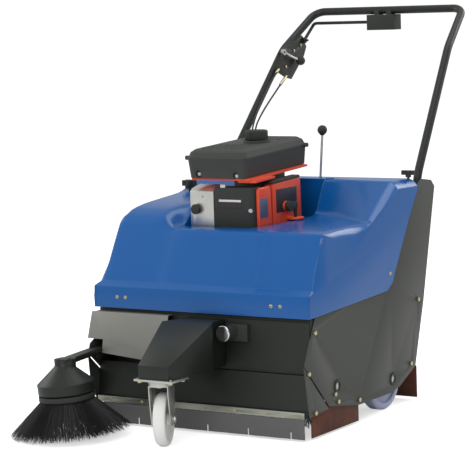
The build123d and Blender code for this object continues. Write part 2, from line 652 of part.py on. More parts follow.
housing = prism_x([(housing_front, 560), (housing_front, 730), (housing_front + 10, 738),
                   (housing_back - 14, 745), (housing_back, 732), (housing_back + 4, 560)], 61,
                  engine_right)
grip_y, grip_z = 380.0, 657.0
foot_spot = (108.0, 412.0, 613.0)
housing += rod(foot_spot, (foot_spot[0], foot_spot[1], foot_spot[2] + 7), 27)
housing += rod((engine_right - 1, grip_y, grip_z), (engine_right + 6, grip_y, grip_z), 16)
housing -= rod((engine_right - 12, grip_y, grip_z), (engine_right + 8, grip_y, grip_z), 6 + run_gap)
parts["blower_housing"] = housing
grip = rod((engine_right - 10, grip_y, grip_z), (engine_right + 12, grip_y, grip_z), 6)
grip += rod((engine_right + 10, grip_y, grip_z), (engine_right + 24, grip_y, grip_z), 17)
grip += block(engine_right + 12, engine_right + 24, grip_y, grip_y + 38, grip_z - 8, grip_z + 8)
grip += rod((engine_right + 18, grip_y + 32, grip_z - 36), (engine_right + 18, grip_y + 32, grip_z + 12), 6)
parts["starter_grip"] = grip

knob = rod((knob_spot[0], engine_front - 14, knob_spot[2]), (knob_spot[0], engine_front - 1,
                                                           knob_spot[2]), 15.5)
knob += rod((knob_spot[0], engine_front - 2, knob_spot[2]), (knob_spot[0], engine_front + 16,
                                                           knob_spot[2]), knob_stud)
parts["air_cleaner_knob"] = knob

tank_low, tank_mid, tank_high = 757.0, 820.0, 846.0
tank_x0, tank_x1, tank_y0, tank_y1 = -158.0, 62.0, 192.0, 588.0
tank_lean = 2.7             # degrees, the tank and its bracket rise to the rear
lean = Pos(0, tank_y0, tank_low) * Rot(tank_lean, 0, 0) * Pos(0, -tank_y0, -tank_low)


def rounded_level(inset_x, inset_y, z, radius):
    width = tank_x1 - tank_x0 - 2 * inset_x
    depth = tank_y1 - tank_y0 - 2 * inset_y
    middle = Pos((tank_x0 + tank_x1) / 2, (tank_y0 + tank_y1) / 2, z)
    return middle * RectangleRounded(width, depth, radius)


tank = loft([rounded_level(7, 7, tank_low, 20), rounded_level(1, 1, tank_mid - 4, 24)], ruled=True)
tank += loft([rounded_level(0, 0, tank_mid - 4, 25), rounded_level(0, 0, tank_mid + 2, 25)], ruled=True)
tank += loft([rounded_level(2, 2, tank_mid + 2, 24), rounded_level(8, 8, tank_high - 8, 24),
              rounded_level(20, 20, tank_high, 22)], ruled=True)
cap_x, cap_y = -19.0, 402.0
cap_radius = 37.0
neck_radius = 26.0
neck_top = tank_high + 26
cap_low, cap_high = tank_high + 11, tank_high + 38
tank += rod((cap_x, cap_y, tank_high - 4), (cap_x, cap_y, tank_high + 9), 43)
tank += rod((cap_x, cap_y, tank_high - 4), (cap_x, cap_y, neck_top), neck_radius)
tank -= rod((cap_x, cap_y, tank_high - 20), (cap_x, cap_y, neck_top + 5), neck_radius - 4)
tank += rod((tank_x0 - 10, tank_y0 + 24, tank_mid - 1), (tank_x0 + 4, tank_y0 + 24, tank_mid - 1), 7)
tank += rod((tank_x1 - 4, tank_y1 - 24, tank_mid - 1), (tank_x1 + 10, tank_y1 - 24, tank_mid - 1), 7)
tank_bolt_spots = [(-112, 205, 770), (26, 205, 766)]
tank -= [rod((x, y - 20, z), (x, y + 2, z), 12) for x, y, z in tank_bolt_spots]
tank -= [rod((x, y - 20, z), (x, y + 8, z), screw_shank_radius) for x, y, z in tank_bolt_spots]
parts["fuel_tank"] = lean * tank
m6_screws += [lean * round_screw((x, y + 2, z), (0, -1, 0), 8, 5, screw_shank_radius, 5)
              for x, y, z in tank_bolt_spots]
parts["m6_screws"] = m6_screws
cap = rod((cap_x, cap_y, cap_low), (cap_x, cap_y, cap_high), cap_radius)
cap -= rod((cap_x, cap_y, cap_low - 1), (cap_x, cap_y, neck_top + 0.3), neck_radius + 0.4)
parts["fuel_cap"] = lean * cap
cap_seat = (lean * Pos(cap_x, cap_y, cap_low)).position
bracket_z = tank_low - 7
tank_bracket = block(-146, 70, 208, 560, bracket_z, bracket_z + 6.7)
tank_bracket += block(20, 86, 215, 330, bracket_z - 7, bracket_z + 0.5)
tank_bracket -= block(-100, 30, 340, 520, bracket_z - 20, bracket_z + 20)
tank_bracket += block(-110, 45, 430, 470, bracket_z - 1, bracket_z + 6.7)
tank_bracket += block(-90, 10, 430, 470, bracket_z - 8, bracket_z)
parts["tank_bracket"] = lean * tank_bracket
engine_support -= lean * block(-300, 300, 100, 800, bracket_z - 8.3, 1000)
parts["engine_block"] += engine_support
outlet_radius = 12.5
muffler = block(-140, -116, 476, 560, 610, 700)
muffler += block(-140, -40, 506, 560, 610, 700)
muffler += rod((-90, 558, 655), (-90, 588, 655), outlet_radius)
muffler -= rod((-90, 540, 655), (-90, 590, 655), outlet_radius - 2)
parts["muffler"] = muffler

# ---- star knob on the hood's left shoulder -------------------------------------------------------
star_base = shoulder_z + 8


def star_knob(x, y, z, radius, height, screw, depth):
    solid = rod((x, y, z), (x, y, z + height), radius * 0.62)
    for arm_number in range(5):
        angle = math.radians(72 * arm_number)
        lobe = (x + radius * 0.66 * math.cos(angle), y + radius * 0.66 * math.sin(angle))
        solid += rod((lobe[0], lobe[1], z + height * 0.35), (lobe[0], lobe[1], z + height),
                     radius * 0.34)
    return solid + rod((x, y, z - depth), (x, y, z + 1), screw)


parts["star_knob"] = star_knob(star_x, star_y, star_base, 26, 28, star_screw_radius, 40)

# ---- lift lever ------------------------------------------------------------------------------------
lever_tip = (77.0, 650.0, 878.0)
lever_rod_radius = 4.0
lever_eye = ring((lever_x - 5, lever_y, lever_pivot_z), (lever_x + 5, lever_y, lever_pivot_z), 11,
                 5 + run_gap)
lever = bent_rod([(lever_x, lever_y, lever_pivot_z + 9), (lever_x, lever_y, 700),
                  (lever_tip[0], lever_tip[1], lever_tip[2] - 10)], [60], lever_rod_radius)
lever = lever_eye + lever
parts["lift_lever"] = [lever, Pos(*lever_tip) * Sphere(16) - lever]
lever_mount = block(lever_x - 13, lever_x - 6, lever_y - 15, lever_y + 15, plate_top, 615)
lever_mount += block(lever_x + 6, lever_x + 13, lever_y - 15, lever_y + 15, plate_top, 615)
lever_mount += rod((lever_x - 13, lever_y, lever_pivot_z), (lever_x + 13, lever_y, lever_pivot_z), 5)
parts["frame"] += lever_mount

# ---- handle and its brackets -----------------------------------------------------------------------
leg_turn = 45.0
handle_points = [
    (-handle_base_x, handle_pivot_y - 6, handle_foot_z), (-handle_base_x, handle_pivot_y + 16, 728),
    (-handle_knee[0], handle_knee[1], handle_knee[2]), (-handle_top[0], handle_top[1], handle_top[2]),
    (handle_top[0], handle_top[1], handle_top[2]), (handle_knee[0], handle_knee[1], handle_knee[2]),
    (handle_base_x, handle_pivot_y + 16, 728), (handle_base_x, handle_pivot_y - 6, handle_foot_z)]
tube = bent_rod(handle_points, [120, 160, leg_turn, leg_turn, 160, 120], tube_radius, tube_wall)
pin_ends = [(sign * (handle_base_x - 30), sign * (handle_base_x + 30)) for sign in (-1, 1)]
for start, end in pin_ends:
    tube -= rod((start, handle_pivot_y, handle_pivot_z), (end, handle_pivot_y, handle_pivot_z),
                handle_pin_radius + run_gap)
parts["handle_tube"] = tube

ear_x = handle_base_x - tube_radius - 4
handle_bracket = block(ear_x - 4, ear_x, 682, 790, 612, 700)
handle_bracket += block(ear_x - 4, frame_half, 682, 686, 612, 700)
handle_bracket += block(ear_x - 4, frame_half, 682, 704, 696, 700)
handle_bracket += rod((ear_x - 4, handle_pivot_y, handle_pivot_z), (frame_half, handle_pivot_y,
                                                                  handle_pivot_z), handle_pin_radius)
handle_bracket -= rod((knob_x, knob_y, 690), (knob_x, knob_y, 705), clamp_screw_radius + run_gap)
parts["handle_brackets"] = [handle_bracket, mirrored(handle_bracket)]
clamp_base = rear_top_z + 3
clamp = rod((knob_x, knob_y, clamp_base), (knob_x, knob_y, clamp_base + 14), 9)
clamp += block(knob_x - 22, knob_x + 22, knob_y - 7, knob_y + 7, clamp_base + 8, clamp_base + 22)
clamp += rod((knob_x, knob_y, 680 + 8), (knob_x, knob_y, clamp_base + 1), clamp_screw_radius)
parts["clamp_knob_right"] = clamp
parts["clamp_knob_left"] = mirrored(clamp)

# ---- what the handle carries -------------------------------------------------------------------------
bar_y, bar_z = handle_top[1], handle_top[2]
box_x0, box_x1 = -68.0, 40.0
control_box = block(box_x0, box_x1, bar_y - 34, bar_y + 20, bar_z - 68, bar_z - tube_radius - 1)
control_box += block(box_x0 + 20, box_x0 + 40, bar_y - 16, bar_y + 16, bar_z - 20, bar_z)
control_box += block(box_x1 - 40, box_x1 - 20, bar_y - 16, bar_y + 16, bar_z - 20, bar_z)
control_box -= rod((-200, bar_y, bar_z), (200, bar_y, bar_z), tube_radius)
bail_y, bail_z = bar_y - 6, bar_z - 40
bail_pivot_y, bail_pivot_z = bar_y - 80, bar_z - 98
bail_radius = 5.5
parts["control_box"] = control_box

plate_x = -handle_knee[0] + tube_radius + 4
bracket_outline = [(1131, 1177), (1185, 1173), (1211, 1133), (1192, 1101), (1101, 1023),
                   (1059, 1031), (988, 1061), (1010, 1110), (1045, 1142)]
bracket_sheet = 3.0
control_plate = prism_x(bracket_outline, plate_x, plate_x + bracket_sheet)
throttle_y, throttle_z = 1040.0, 1120.0
lever_pin_radius = 4.0
control_plate += rod((plate_x + 1, throttle_y, throttle_z), (plate_x + 16, throttle_y, throttle_z),
                     lever_pin_radius)
control_plate += rod((plate_x + 1, bail_pivot_y, bail_pivot_z), (plate_x + 24, bail_pivot_y,
                                                               bail_pivot_z), lever_pin_radius)
for y, z in ((1064, 1093), (1150, 1170)):
    control_plate += rod((plate_x - 10, y, z), (plate_x + 1, y, z), 7)
control_plate -= tube
parts["control_bracket"] = control_plate
throttle = ring((plate_x + bracket_sheet + 0.5, throttle_y, throttle_z),
                (plate_x + bracket_sheet + 12, throttle_y, throttle_z), 11,
                lever_pin_radius + run_gap)
throttle_tip = (plate_x + 24, throttle_y + 92, throttle_z - 34)
throttle += bent_rod([(plate_x + 12, throttle_y + 4, throttle_z - 1),
                      (plate_x + 13, throttle_y + 40, throttle_z - 14), throttle_tip], [60], 3.5)
parts["throttle_lever"] = [throttle, Pos(*throttle_tip) * Sphere(16) - throttle]

bail_arm_x = plate_x + bracket_sheet + 6
bail = bent_rod([(bail_arm_x, bail_pivot_y + 4, bail_pivot_z + 4), (bail_arm_x, bail_y, bail_z),
                 (box_x0 - 3, bail_y, bail_z)], [10], bail_radius)
bail += rod((bail_arm_x - 5, bail_pivot_y, bail_pivot_z), (bail_arm_x + 5, bail_pivot_y,
                                                         bail_pivot_z), 10)
bail -= rod((bail_arm_x - 20, bail_pivot_y, bail_pivot_z), (bail_arm_x + 30, bail_pivot_y,
                                                          bail_pivot_z), lever_pin_radius + run_gap)
parts["drive_bail"] = bail

# ---- hardware and cables on the control plate -----------------------------------------------------------
hardware_face = plate_x + bracket_sheet
hardware = [hex_bolt((hardware_face, y, z), (1, 0, 0), 10, 4, 3, 2.5)
            for y, z in ((1120, 1122), (1168, 1140), (1062, 1068))]
cable_radius = 3.0
ferrule_radius = 5.0
cable_routes = [
    [(-294, 986, 1050), (-290, 940, 1020), (-281, 880, 980), (-267, 815, 935), (-250, 755, 893),
     (-228, 702, 854), (-198, 660, 816), (-168, 632, 778), (-144, 608, 748), (-128, 588, 729),
     (-122, 572, 724)],
    [(-288, 1000, 1008), (-284, 946, 976), (-276, 886, 944), (-264, 824, 912), (-249, 768, 882),
     (-228, 724, 852), (-201, 687, 819), (-170, 655, 784), (-141, 624, 750), (-117, 594, 730),
     (-108, 572, 724)]]
ferrule_lengths = [22.0, 56.0]
for route, ferrule_length in zip(cable_routes, ferrule_lengths):
    head, second = route[:2]
    back = (Vector(*head) - Vector(*second)).normalized() * ferrule_length
    hardware.append(rod(head, tuple(Vector(*head) + back), ferrule_radius))
parts["control_hardware"] = hardware
parts["control_bracket"] -= hardware[:3]
for name, route in zip(("throttle_cable", "drive_cable"), cable_routes):
    radii = []
    runs = [Vector(*b) - Vector(*a) for a, b in zip(route, route[1:])]
    for before, after in zip(runs, runs[1:]):
        half_turn = math.radians(before.get_angle(after)) / 2
        radii.append(0.45 * min(before.length, after.length) / math.tan(half_turn))
    cable = bent_rod(route, radii, cable_radius)
    length = FilletPolyline(*route, radius=radii).length
    print(name, "length", round(length), "radii", [round(r) for r in radii], "volume share",
          round(cable.volume / (math.pi * cable_radius ** 2 * length), 4))
    parts[name] = cable

# ---- move the origin to the middle of the footprint and write the parts -----------------------------------
shapes = {}
for name, shape in parts.items():
    pieces = shape if isinstance(shape, list) else [shape]
    solids = [solid for piece in pieces for solid in piece.solids()]
    shapes[name] = Compound(children=solids) if len(solids) > 1 else solids[0]
whole = Compound(children=[Compound(shape.wrapped) for shape in shapes.values()]).bounding_box()
shift = Pos(-(whole.min.X + whole.max.X) / 2, -(whole.min.Y + whole.max.Y) / 2, -whole.min.Z)
print("shift", shift.position, "size", whole.size)
for name, shape in shapes.items():
    export_step(shift * shape, f"parts/{name}.step")
print(len(shapes), "nodes")
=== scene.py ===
"""Looks of a walk-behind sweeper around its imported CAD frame, laid out as an add-on."""
import json
import math

import bmesh
import bpy
from bpy.props import FloatProperty, FloatVectorProperty, IntProperty, PointerProperty
from mathutils import Matrix, Vector

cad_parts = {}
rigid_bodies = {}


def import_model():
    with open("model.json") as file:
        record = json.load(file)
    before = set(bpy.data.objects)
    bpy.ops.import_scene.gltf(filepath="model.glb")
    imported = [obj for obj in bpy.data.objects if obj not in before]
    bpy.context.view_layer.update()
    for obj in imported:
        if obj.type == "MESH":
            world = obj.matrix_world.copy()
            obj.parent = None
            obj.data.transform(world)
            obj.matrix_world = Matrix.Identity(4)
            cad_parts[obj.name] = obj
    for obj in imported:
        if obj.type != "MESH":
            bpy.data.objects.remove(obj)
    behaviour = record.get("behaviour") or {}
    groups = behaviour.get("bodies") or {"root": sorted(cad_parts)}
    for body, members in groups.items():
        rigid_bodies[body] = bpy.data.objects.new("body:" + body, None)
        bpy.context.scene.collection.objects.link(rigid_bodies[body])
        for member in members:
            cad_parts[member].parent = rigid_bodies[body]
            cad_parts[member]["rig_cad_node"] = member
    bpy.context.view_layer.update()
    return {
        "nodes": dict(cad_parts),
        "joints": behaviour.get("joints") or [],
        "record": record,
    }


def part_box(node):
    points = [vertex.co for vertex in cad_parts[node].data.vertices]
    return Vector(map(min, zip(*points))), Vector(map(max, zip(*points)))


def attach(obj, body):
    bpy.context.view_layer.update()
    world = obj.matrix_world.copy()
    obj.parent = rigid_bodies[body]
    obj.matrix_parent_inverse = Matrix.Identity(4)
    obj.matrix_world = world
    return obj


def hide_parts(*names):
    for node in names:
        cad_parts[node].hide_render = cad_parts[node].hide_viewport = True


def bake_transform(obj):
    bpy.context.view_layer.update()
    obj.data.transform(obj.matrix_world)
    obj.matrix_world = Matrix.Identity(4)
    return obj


bl_info = {
    "name": "Walk-behind sweeper",
    "version": (1, 0, 0),
    "blender": (4, 5, 0),
    "location": "3D View > Sidebar > Sweeper",
    "description": "Builds the visible pieces of a petrol walk-behind sweeper on its CAD frame",
    "category": "Object",
}

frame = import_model()
SLOTS = {row["node"]: row["material_slot"] for row in frame["record"]["subparts"]}

# The building datum has x = 0 on the machine's centre plane and y = 0 at the hood's front lip.
hood_low, hood_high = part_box("hood")
SHIFT_X = (hood_low.x + hood_high.x) / 2
SHIFT_Y = hood_low.y


def place(x, y, z):
    """Point of the building datum, in millimetres, as a point of the frame, in metres."""
    return Vector((x / 1000 + SHIFT_X, y / 1000 + SHIFT_Y, z / 1000))


# ---- sizes and colours ---------------------------------------------------------------------

def size(name, default, description, **limits):
    return FloatProperty(name=name, description=description, default=default, unit="LENGTH",
                         precision=4, **limits)


def colour(name, default, description):
    return FloatVectorProperty(name=name, description=description, default=default, size=3,
                               subtype="COLOR", min=0.0, max=1.0)


class SWEEPER_PG_sizes(bpy.types.PropertyGroup):
    """Sizes that a user may change."""
    corner_inset: size("Corner inset", 0.015, "How far the hood's corners stand inside its flange")
    panel_proud: size("Centre panel", 0.0028, "How far the hood's centre panel stands proud")
    hood_wall: size("Hood wall", 0.004, "Wall thickness of the moulded hood")
    edge_roll: size("Edge roll", 0.0022, "Rounding of the hood's crisp edges")
    strand: size("Strand", 0.0011, "Thickness of a side broom bristle")
    side_strands: IntProperty(name="Side strands", description="Bristles of the side broom",
                              default=5200, min=100)
    main_strands: IntProperty(name="Main strands", description="Bristles of the main broom",
                              default=6500, min=100)
    side_lean: FloatProperty(name="Lean", description="Lean of the outer bristles from the axis",
                             default=math.radians(47), subtype="ANGLE")
    cable: size("Cable", 0.006, "Outer diameter of a control cable")
    flutes: IntProperty(name="Flutes", description="Grip flutes round the fuel cap", default=24)


class SWEEPER_PG_colours(bpy.types.PropertyGroup):
    """Colours that a user may change."""
    hood: colour("Hood", (0.0, 0.046, 0.205), "Moulded hood")
    steel_dark: colour("Side panels", (0.007, 0.009, 0.0075), "Textured powder coat")
    steel_black: colour("Frame", (0.0015, 0.008, 0.0062), "Satin black paint")
    steel_grey: colour("Grey panel", (0.135, 0.135, 0.118), "Speckled grey panel")
    engine_red: colour("Engine red", (0.62, 0.045, 0.012), "Engine enamel")
    flap: colour("Front flap", (0.23, 0.26, 0.25), "Rubber of the front flap")
    skirt: colour("Side skirt", (0.10, 0.032, 0.018), "Rubber of the side skirts")
    roller: colour("Caster wheel", (0.44, 0.43, 0.40), "Nylon of the caster wheel")
    wheels: colour("Rear wheels", (0.36, 0.40, 0.55), "Nylon of the rear wheels")


# ---- node helpers ----------------------------------------------------------------------------

def add(tree, kind, links=None, **settings):
    """New node with its settings, each input linked to a socket or set to a value."""
    node = tree.nodes.new(kind)
    for key, value in settings.items():
        setattr(node, key, value)
    for key, value in (links or {}).items():
        if isinstance(value, bpy.types.NodeSocket):
            tree.links.new(value, node.inputs[key])
        else:
            node.inputs[key].default_value = value
    return node


def calc(tree, operation, a, b=0.0, c=0.0):
    return add(tree, "ShaderNodeMath", {0: a, 1: b, 2: c}, operation=operation).outputs[0]


def new_group(name, kind, inputs, outputs):
    tree = bpy.data.node_groups.new(name, kind)
    for label, socket, default in inputs:
        made = tree.interface.new_socket(label, in_out="INPUT", socket_type=socket)
        if default is not None:
            made.default_value = default
    for label, socket in outputs:
        tree.interface.new_socket(label, in_out="OUTPUT", socket_type=socket)
    source = tree.nodes.new("NodeGroupInput").outputs
    return tree, source, tree.nodes.new("NodeGroupOutput")


FLOAT, VECTOR, COLOR = "NodeSocketFloat", "NodeSocketVector", "NodeSocketColor"


def mix_colour(tree, factor, a, b, blend="MIX"):
    return add(tree, "ShaderNodeMix", {0: factor, 6: a, 7: b}, data_type="RGBA",
               blend_type=blend).outputs[2]


def noise(tree, vector, scale, detail=3.0, roughness=0.55):
    return add(tree, "ShaderNodeTexNoise", {"Vector": vector, "Scale": scale, "Detail": detail,
                                            "Roughness": roughness}).outputs[0]


def ramp(tree, value, low, high):
    return add(tree, "ShaderNodeMapRange", {0: value, 1: low, 2: high, 3: 0.0, 4: 1.0}).outputs[0]


def grain_group():
    """Fine surface grain: a height for bump and a slow tone variation."""
    tree, source, out = new_group("Grain", "ShaderNodeTree", [
        ("Vector", VECTOR, None), ("Scale", FLOAT, 400.0), ("Mottle scale", FLOAT, 9.0)],
        [("Height", FLOAT), ("Tone", FLOAT), ("Speckle", FLOAT)])
    fine = noise(tree, source["Vector"], source["Scale"], 4.0, 0.6)
    slow = noise(tree, source["Vector"], source["Mottle scale"], 3.0, 0.5)
    tree.links.new(fine, out.inputs["Height"])
    tree.links.new(ramp(tree, slow, 0.3, 0.7), out.inputs["Tone"])
    tree.links.new(ramp(tree, fine, 0.46, 0.62), out.inputs["Speckle"])
    return tree


def wear_group():
    """Mask of worn edges, broken up by noise."""
    tree, source, out = new_group("Edge wear", "ShaderNodeTree", [
        ("Vector", VECTOR, None), ("Amount", FLOAT, 0.5)], [("Mask", FLOAT)])
    geometry = tree.nodes.new("ShaderNodeNewGeometry")
    edge = ramp(tree, geometry.outputs["Pointiness"], 0.53, 0.62)
    broken = ramp(tree, noise(tree, source["Vector"], 60.0, 5.0, 0.7), 0.45, 0.6)
    mask = calc(tree, "MULTIPLY", calc(tree, "MULTIPLY", edge, broken), source["Amount"])
    tree.links.new(mask, out.inputs["Mask"])
    return tree


def dust_group():
    """Mask of dust that lies on faces looking up and low down on the machine."""
    tree, source, out = new_group("Dust", "ShaderNodeTree", [
        ("Vector", VECTOR, None), ("Amount", FLOAT, 0.2), ("Reach", FLOAT, 0.25)],
        [("Mask", FLOAT)])
    geometry = tree.nodes.new("ShaderNodeNewGeometry")
    facing = add(tree, "ShaderNodeSeparateXYZ", {0: geometry.outputs["Normal"]}).outputs[2]
    height = add(tree, "ShaderNodeSeparateXYZ", {0: source["Vector"]}).outputs[2]
    low = add(tree, "ShaderNodeMapRange", {0: height, 1: 0.0, 2: source["Reach"], 3: 1.0,
                                           4: 0.0}).outputs[0]
    top = calc(tree, "MULTIPLY", ramp(tree, facing, 0.5, 1.0), 0.5)
    patch = ramp(tree, noise(tree, source["Vector"], 22.0, 6.0, 0.65), 0.35, 0.75)
    mask = calc(tree, "MULTIPLY", calc(tree, "MAXIMUM", low, top), patch)
    tree.links.new(calc(tree, "MULTIPLY", mask, source["Amount"]), out.inputs["Mask"])
    return tree


GROUPS = {}


def shared(name):
    makers = {"grain": grain_group, "wear": wear_group, "dust": dust_group}
    if name not in GROUPS:
        GROUPS[name] = makers[name]()
    return GROUPS[name]


def use(tree, name, links):
    return add(tree, "ShaderNodeGroup", links, node_tree=shared(name)).outputs


def finish_of(name, base, rough, metallic=0.0, grain=(400.0, 0.1), stretch=(1, 1, 1), mottle=0.12,
              wear=None, dust=0.15, coat=0.0, speckle=None, rough_spread=0.1, sheen=0.0,
              subsurface=0.0, specular=0.5):
    """Procedural material: grain bump, slow tone change, worn edges, dust."""
    made = bpy.data.materials.get(name)
    if made:
        return made
    made = bpy.data.materials.new(name)
    made.use_nodes = True
    tree = made.node_tree
    shader = tree.nodes["Principled BSDF"]
    spot = tree.nodes.new("ShaderNodeTexCoord").outputs["Object"]
    mapped = add(tree, "ShaderNodeMapping", {0: spot, 3: stretch}).outputs[0]
    body = use(tree, "grain", {"Vector": mapped, "Scale": grain[0]})
    rgb = (*base, 1.0)
    darker = tuple(c * (1 - mottle) for c in base) + (1.0,)
    lighter = tuple(min(1.0, c * (1 + mottle)) for c in base) + (1.0,)
    shade = mix_colour(tree, body["Tone"], darker, lighter)
    if speckle:
        shade = mix_colour(tree, body["Speckle"], shade, (*speckle, 1.0))
    if wear:
        mask = use(tree, "wear", {"Vector": spot, "Amount": wear[1]})["Mask"]
        shade = mix_colour(tree, mask, shade, (*wear[0], 1.0))
    if dust:
        mask = use(tree, "dust", {"Vector": spot, "Amount": dust})["Mask"]
        shade = mix_colour(tree, mask, shade, (0.23, 0.2, 0.165, 1.0))
    tree.links.new(shade, shader.inputs["Base Color"])
    spread = add(tree, "ShaderNodeMapRange", {0: body["Tone"], 1: 0.0, 2: 1.0,
                                              3: max(0.02, rough - rough_spread),
                                              4: min(1.0, rough + rough_spread)}).outputs[0]
    tree.links.new(spread, shader.inputs["Roughness"])
    if grain[1]:
        bump = add(tree, "ShaderNodeBump", {"Strength": grain[1], "Distance": 0.0006,
                                            "Height": body["Height"]})
        tree.links.new(bump.outputs[0], shader.inputs["Normal"])
    shader.inputs["Metallic"].default_value = metallic
    shader.inputs["Coat Weight"].default_value = coat
    shader.inputs["Coat Roughness"].default_value = 0.08
    shader.inputs["Sheen Weight"].default_value = sheen
    shader.inputs["Subsurface Weight"].default_value = subsurface
    shader.inputs["Subsurface Radius"].default_value = (0.01, 0.008, 0.006)
    shader.inputs["Specular IOR Level"].default_value = specular
    made.diffuse_color = rgb
    return made


BARE = (0.35, 0.34, 0.32)


def finishes(slot):
    """The finish of one of the record's material slots."""
    c = bpy.context.scene.sweeper_colours
    table = {
        "hood_blue": (c.hood, 0.34, dict(grain=(900, 0.03), mottle=0.06, coat=0.0, dust=0.0,
                                         rough_spread=0.05, specular=0.07)),
        "olive_paint": (c.steel_dark, 0.6, dict(grain=(1400, 0.5), mottle=0.15, dust=0.02,
                                                wear=(BARE, 0.4), speckle=(0.016, 0.018, 0.015),
                                                specular=0.15)),
        "black_paint": (c.steel_black, 0.34, dict(grain=(700, 0.12), mottle=0.3, dust=0.03,
                                                  wear=((0.1, 0.1, 0.1), 0.4), specular=0.14)),
        "grey_steel": (c.steel_grey, 0.55, dict(grain=(330, 0.3), mottle=0.12, dust=0.08,
                                                wear=(BARE, 0.5), speckle=(0.2, 0.2, 0.18),
                                                specular=0.25)),
        "zinc": ((0.42, 0.43, 0.45), 0.34, dict(metallic=1.0, grain=(160, 0.08), mottle=0.2,
                                                dust=0.15)),
        "strip_zinc": ((0.40, 0.41, 0.35), 0.42, dict(metallic=0.9, grain=(90, 0.12), mottle=0.3,
                                                      dust=0.2, stretch=(1, 6, 6))),
        "yellow_zinc": ((0.36, 0.22, 0.09), 0.38, dict(metallic=1.0, grain=(120, 0.1), mottle=0.3,
                                                       dust=0.1)),
        "chrome": ((0.52, 0.52, 0.53), 0.24, dict(metallic=1.0, grain=(90, 0.04), mottle=0.12,
                                                  dust=0.05)),
        "rubber": (c.flap, 0.62, dict(grain=(260, 0.25), mottle=0.25, dust=0.08, specular=0.2)),
        "bristle": ((0.006, 0.007, 0.007), 0.4, dict(grain=(500, 0.0), mottle=0.5, dust=0.02,
                                                     specular=0.3)),
        "nylon_white": (c.roller, 0.45, dict(grain=(300, 0.12), mottle=0.06, dust=0.25,
                                             subsurface=0.12, specular=0.3)),
        "nylon_blue": (c.wheels, 0.45, dict(grain=(300, 0.12), mottle=0.07, dust=0.2,
                                            subsurface=0.1, specular=0.3)),
        "black_plastic": ((0.004, 0.007, 0.006), 0.34, dict(grain=(1100, 0.2), mottle=0.2,
                                                            dust=0.01, specular=0.2)),
        "tank_plastic": ((0.010, 0.014, 0.012), 0.5, dict(grain=(620, 0.5), mottle=0.2, dust=0.01,
                                                          specular=0.25)),
        "engine_red": (c.engine_red, 0.34, dict(grain=(500, 0.06), mottle=0.12, coat=0.12,
                                                dust=0.04, wear=(BARE, 0.3), specular=0.3)),
        "aluminium": ((0.5, 0.48, 0.43), 0.36, dict(metallic=1.0, grain=(240, 0.12), mottle=0.14,
                                                    stretch=(1, 1, 14), dust=0.08)),
        "cast_alu": ((0.26, 0.26, 0.25), 0.55, dict(metallic=0.9, grain=(420, 0.6), mottle=0.25,
                                                    dust=0.15)),
        "steel": ((0.4, 0.4, 0.4), 0.32, dict(metallic=1.0, grain=(300, 0.1), mottle=0.15,
                                              stretch=(20, 1, 1), dust=0.2)),
        "hot_steel": ((0.2, 0.17, 0.14), 0.5, dict(metallic=0.9, grain=(260, 0.3), mottle=0.4,
                                                   speckle=(0.16, 0.09, 0.05), dust=0.15)),
        "filter_paper": ((0.45, 0.4, 0.3), 0.85, dict(grain=(500, 0.4), mottle=0.12, dust=0.4,
                                                      sheen=0.2)),
        "skirt_rubber": (c.skirt, 0.65, dict(grain=(240, 0.3), mottle=0.35, dust=0.15,
                                             specular=0.2)),
        "decal_blue": ((0.07, 0.09, 0.15), 0.45, dict(grain=(300, 0.05), mottle=0.25, dust=0.05)),
        "decal_dark": ((0.02, 0.016, 0.015), 0.4, dict(grain=(300, 0.05), mottle=0.25,
                                                       dust=0.05)),
        "mark_white": ((0.62, 0.62, 0.6), 0.5, dict(grain=(300, 0.05), mottle=0.08, dust=0.05)),
    }
    base, rough, rest = table[slot]
    return finish_of(slot, tuple(base), rough, **rest)


# ---- mesh helpers ------------------------------------------------------------------------------

def smooth_tree():
    """Merges a node's loose triangles and smooths what is not an edge."""
    tree, source, out = new_group("Smooth faces", "GeometryNodeTree", [
        ("Geometry", "NodeSocketGeometry", None), ("Angle", FLOAT, 0.6)],
        [("Geometry", "NodeSocketGeometry")])
    merged = add(tree, "GeometryNodeMergeByDistance", {"Geometry": source["Geometry"],
                                                       "Distance": 0.000004})
    faces = add(tree, "GeometryNodeSetShadeSmooth", {0: merged.outputs[0], 2: True},
                domain="FACE")
    angle = tree.nodes.new("GeometryNodeInputMeshEdgeAngle").outputs[0]
    sharp = add(tree, "FunctionNodeCompare", {0: angle, 1: source["Angle"]},
                data_type="FLOAT", operation="GREATER_THAN").outputs[0]
    edges = add(tree, "GeometryNodeSetShadeSmooth", {0: faces.outputs[0], 1: sharp, 2: False},
                domain="EDGE")
    tree.links.new(edges.outputs[0], out.inputs[0])
    return tree


def set_inputs(modifier, **values):
    """Sets a node modifier's inputs by their sockets' identifiers."""
    names = {s.name: s.identifier for s in modifier.node_group.interface.items_tree
             if s.item_type == "SOCKET" and s.in_out == "INPUT"}
    for label, value in values.items():
        modifier[names[label.replace("_", " ")]] = value


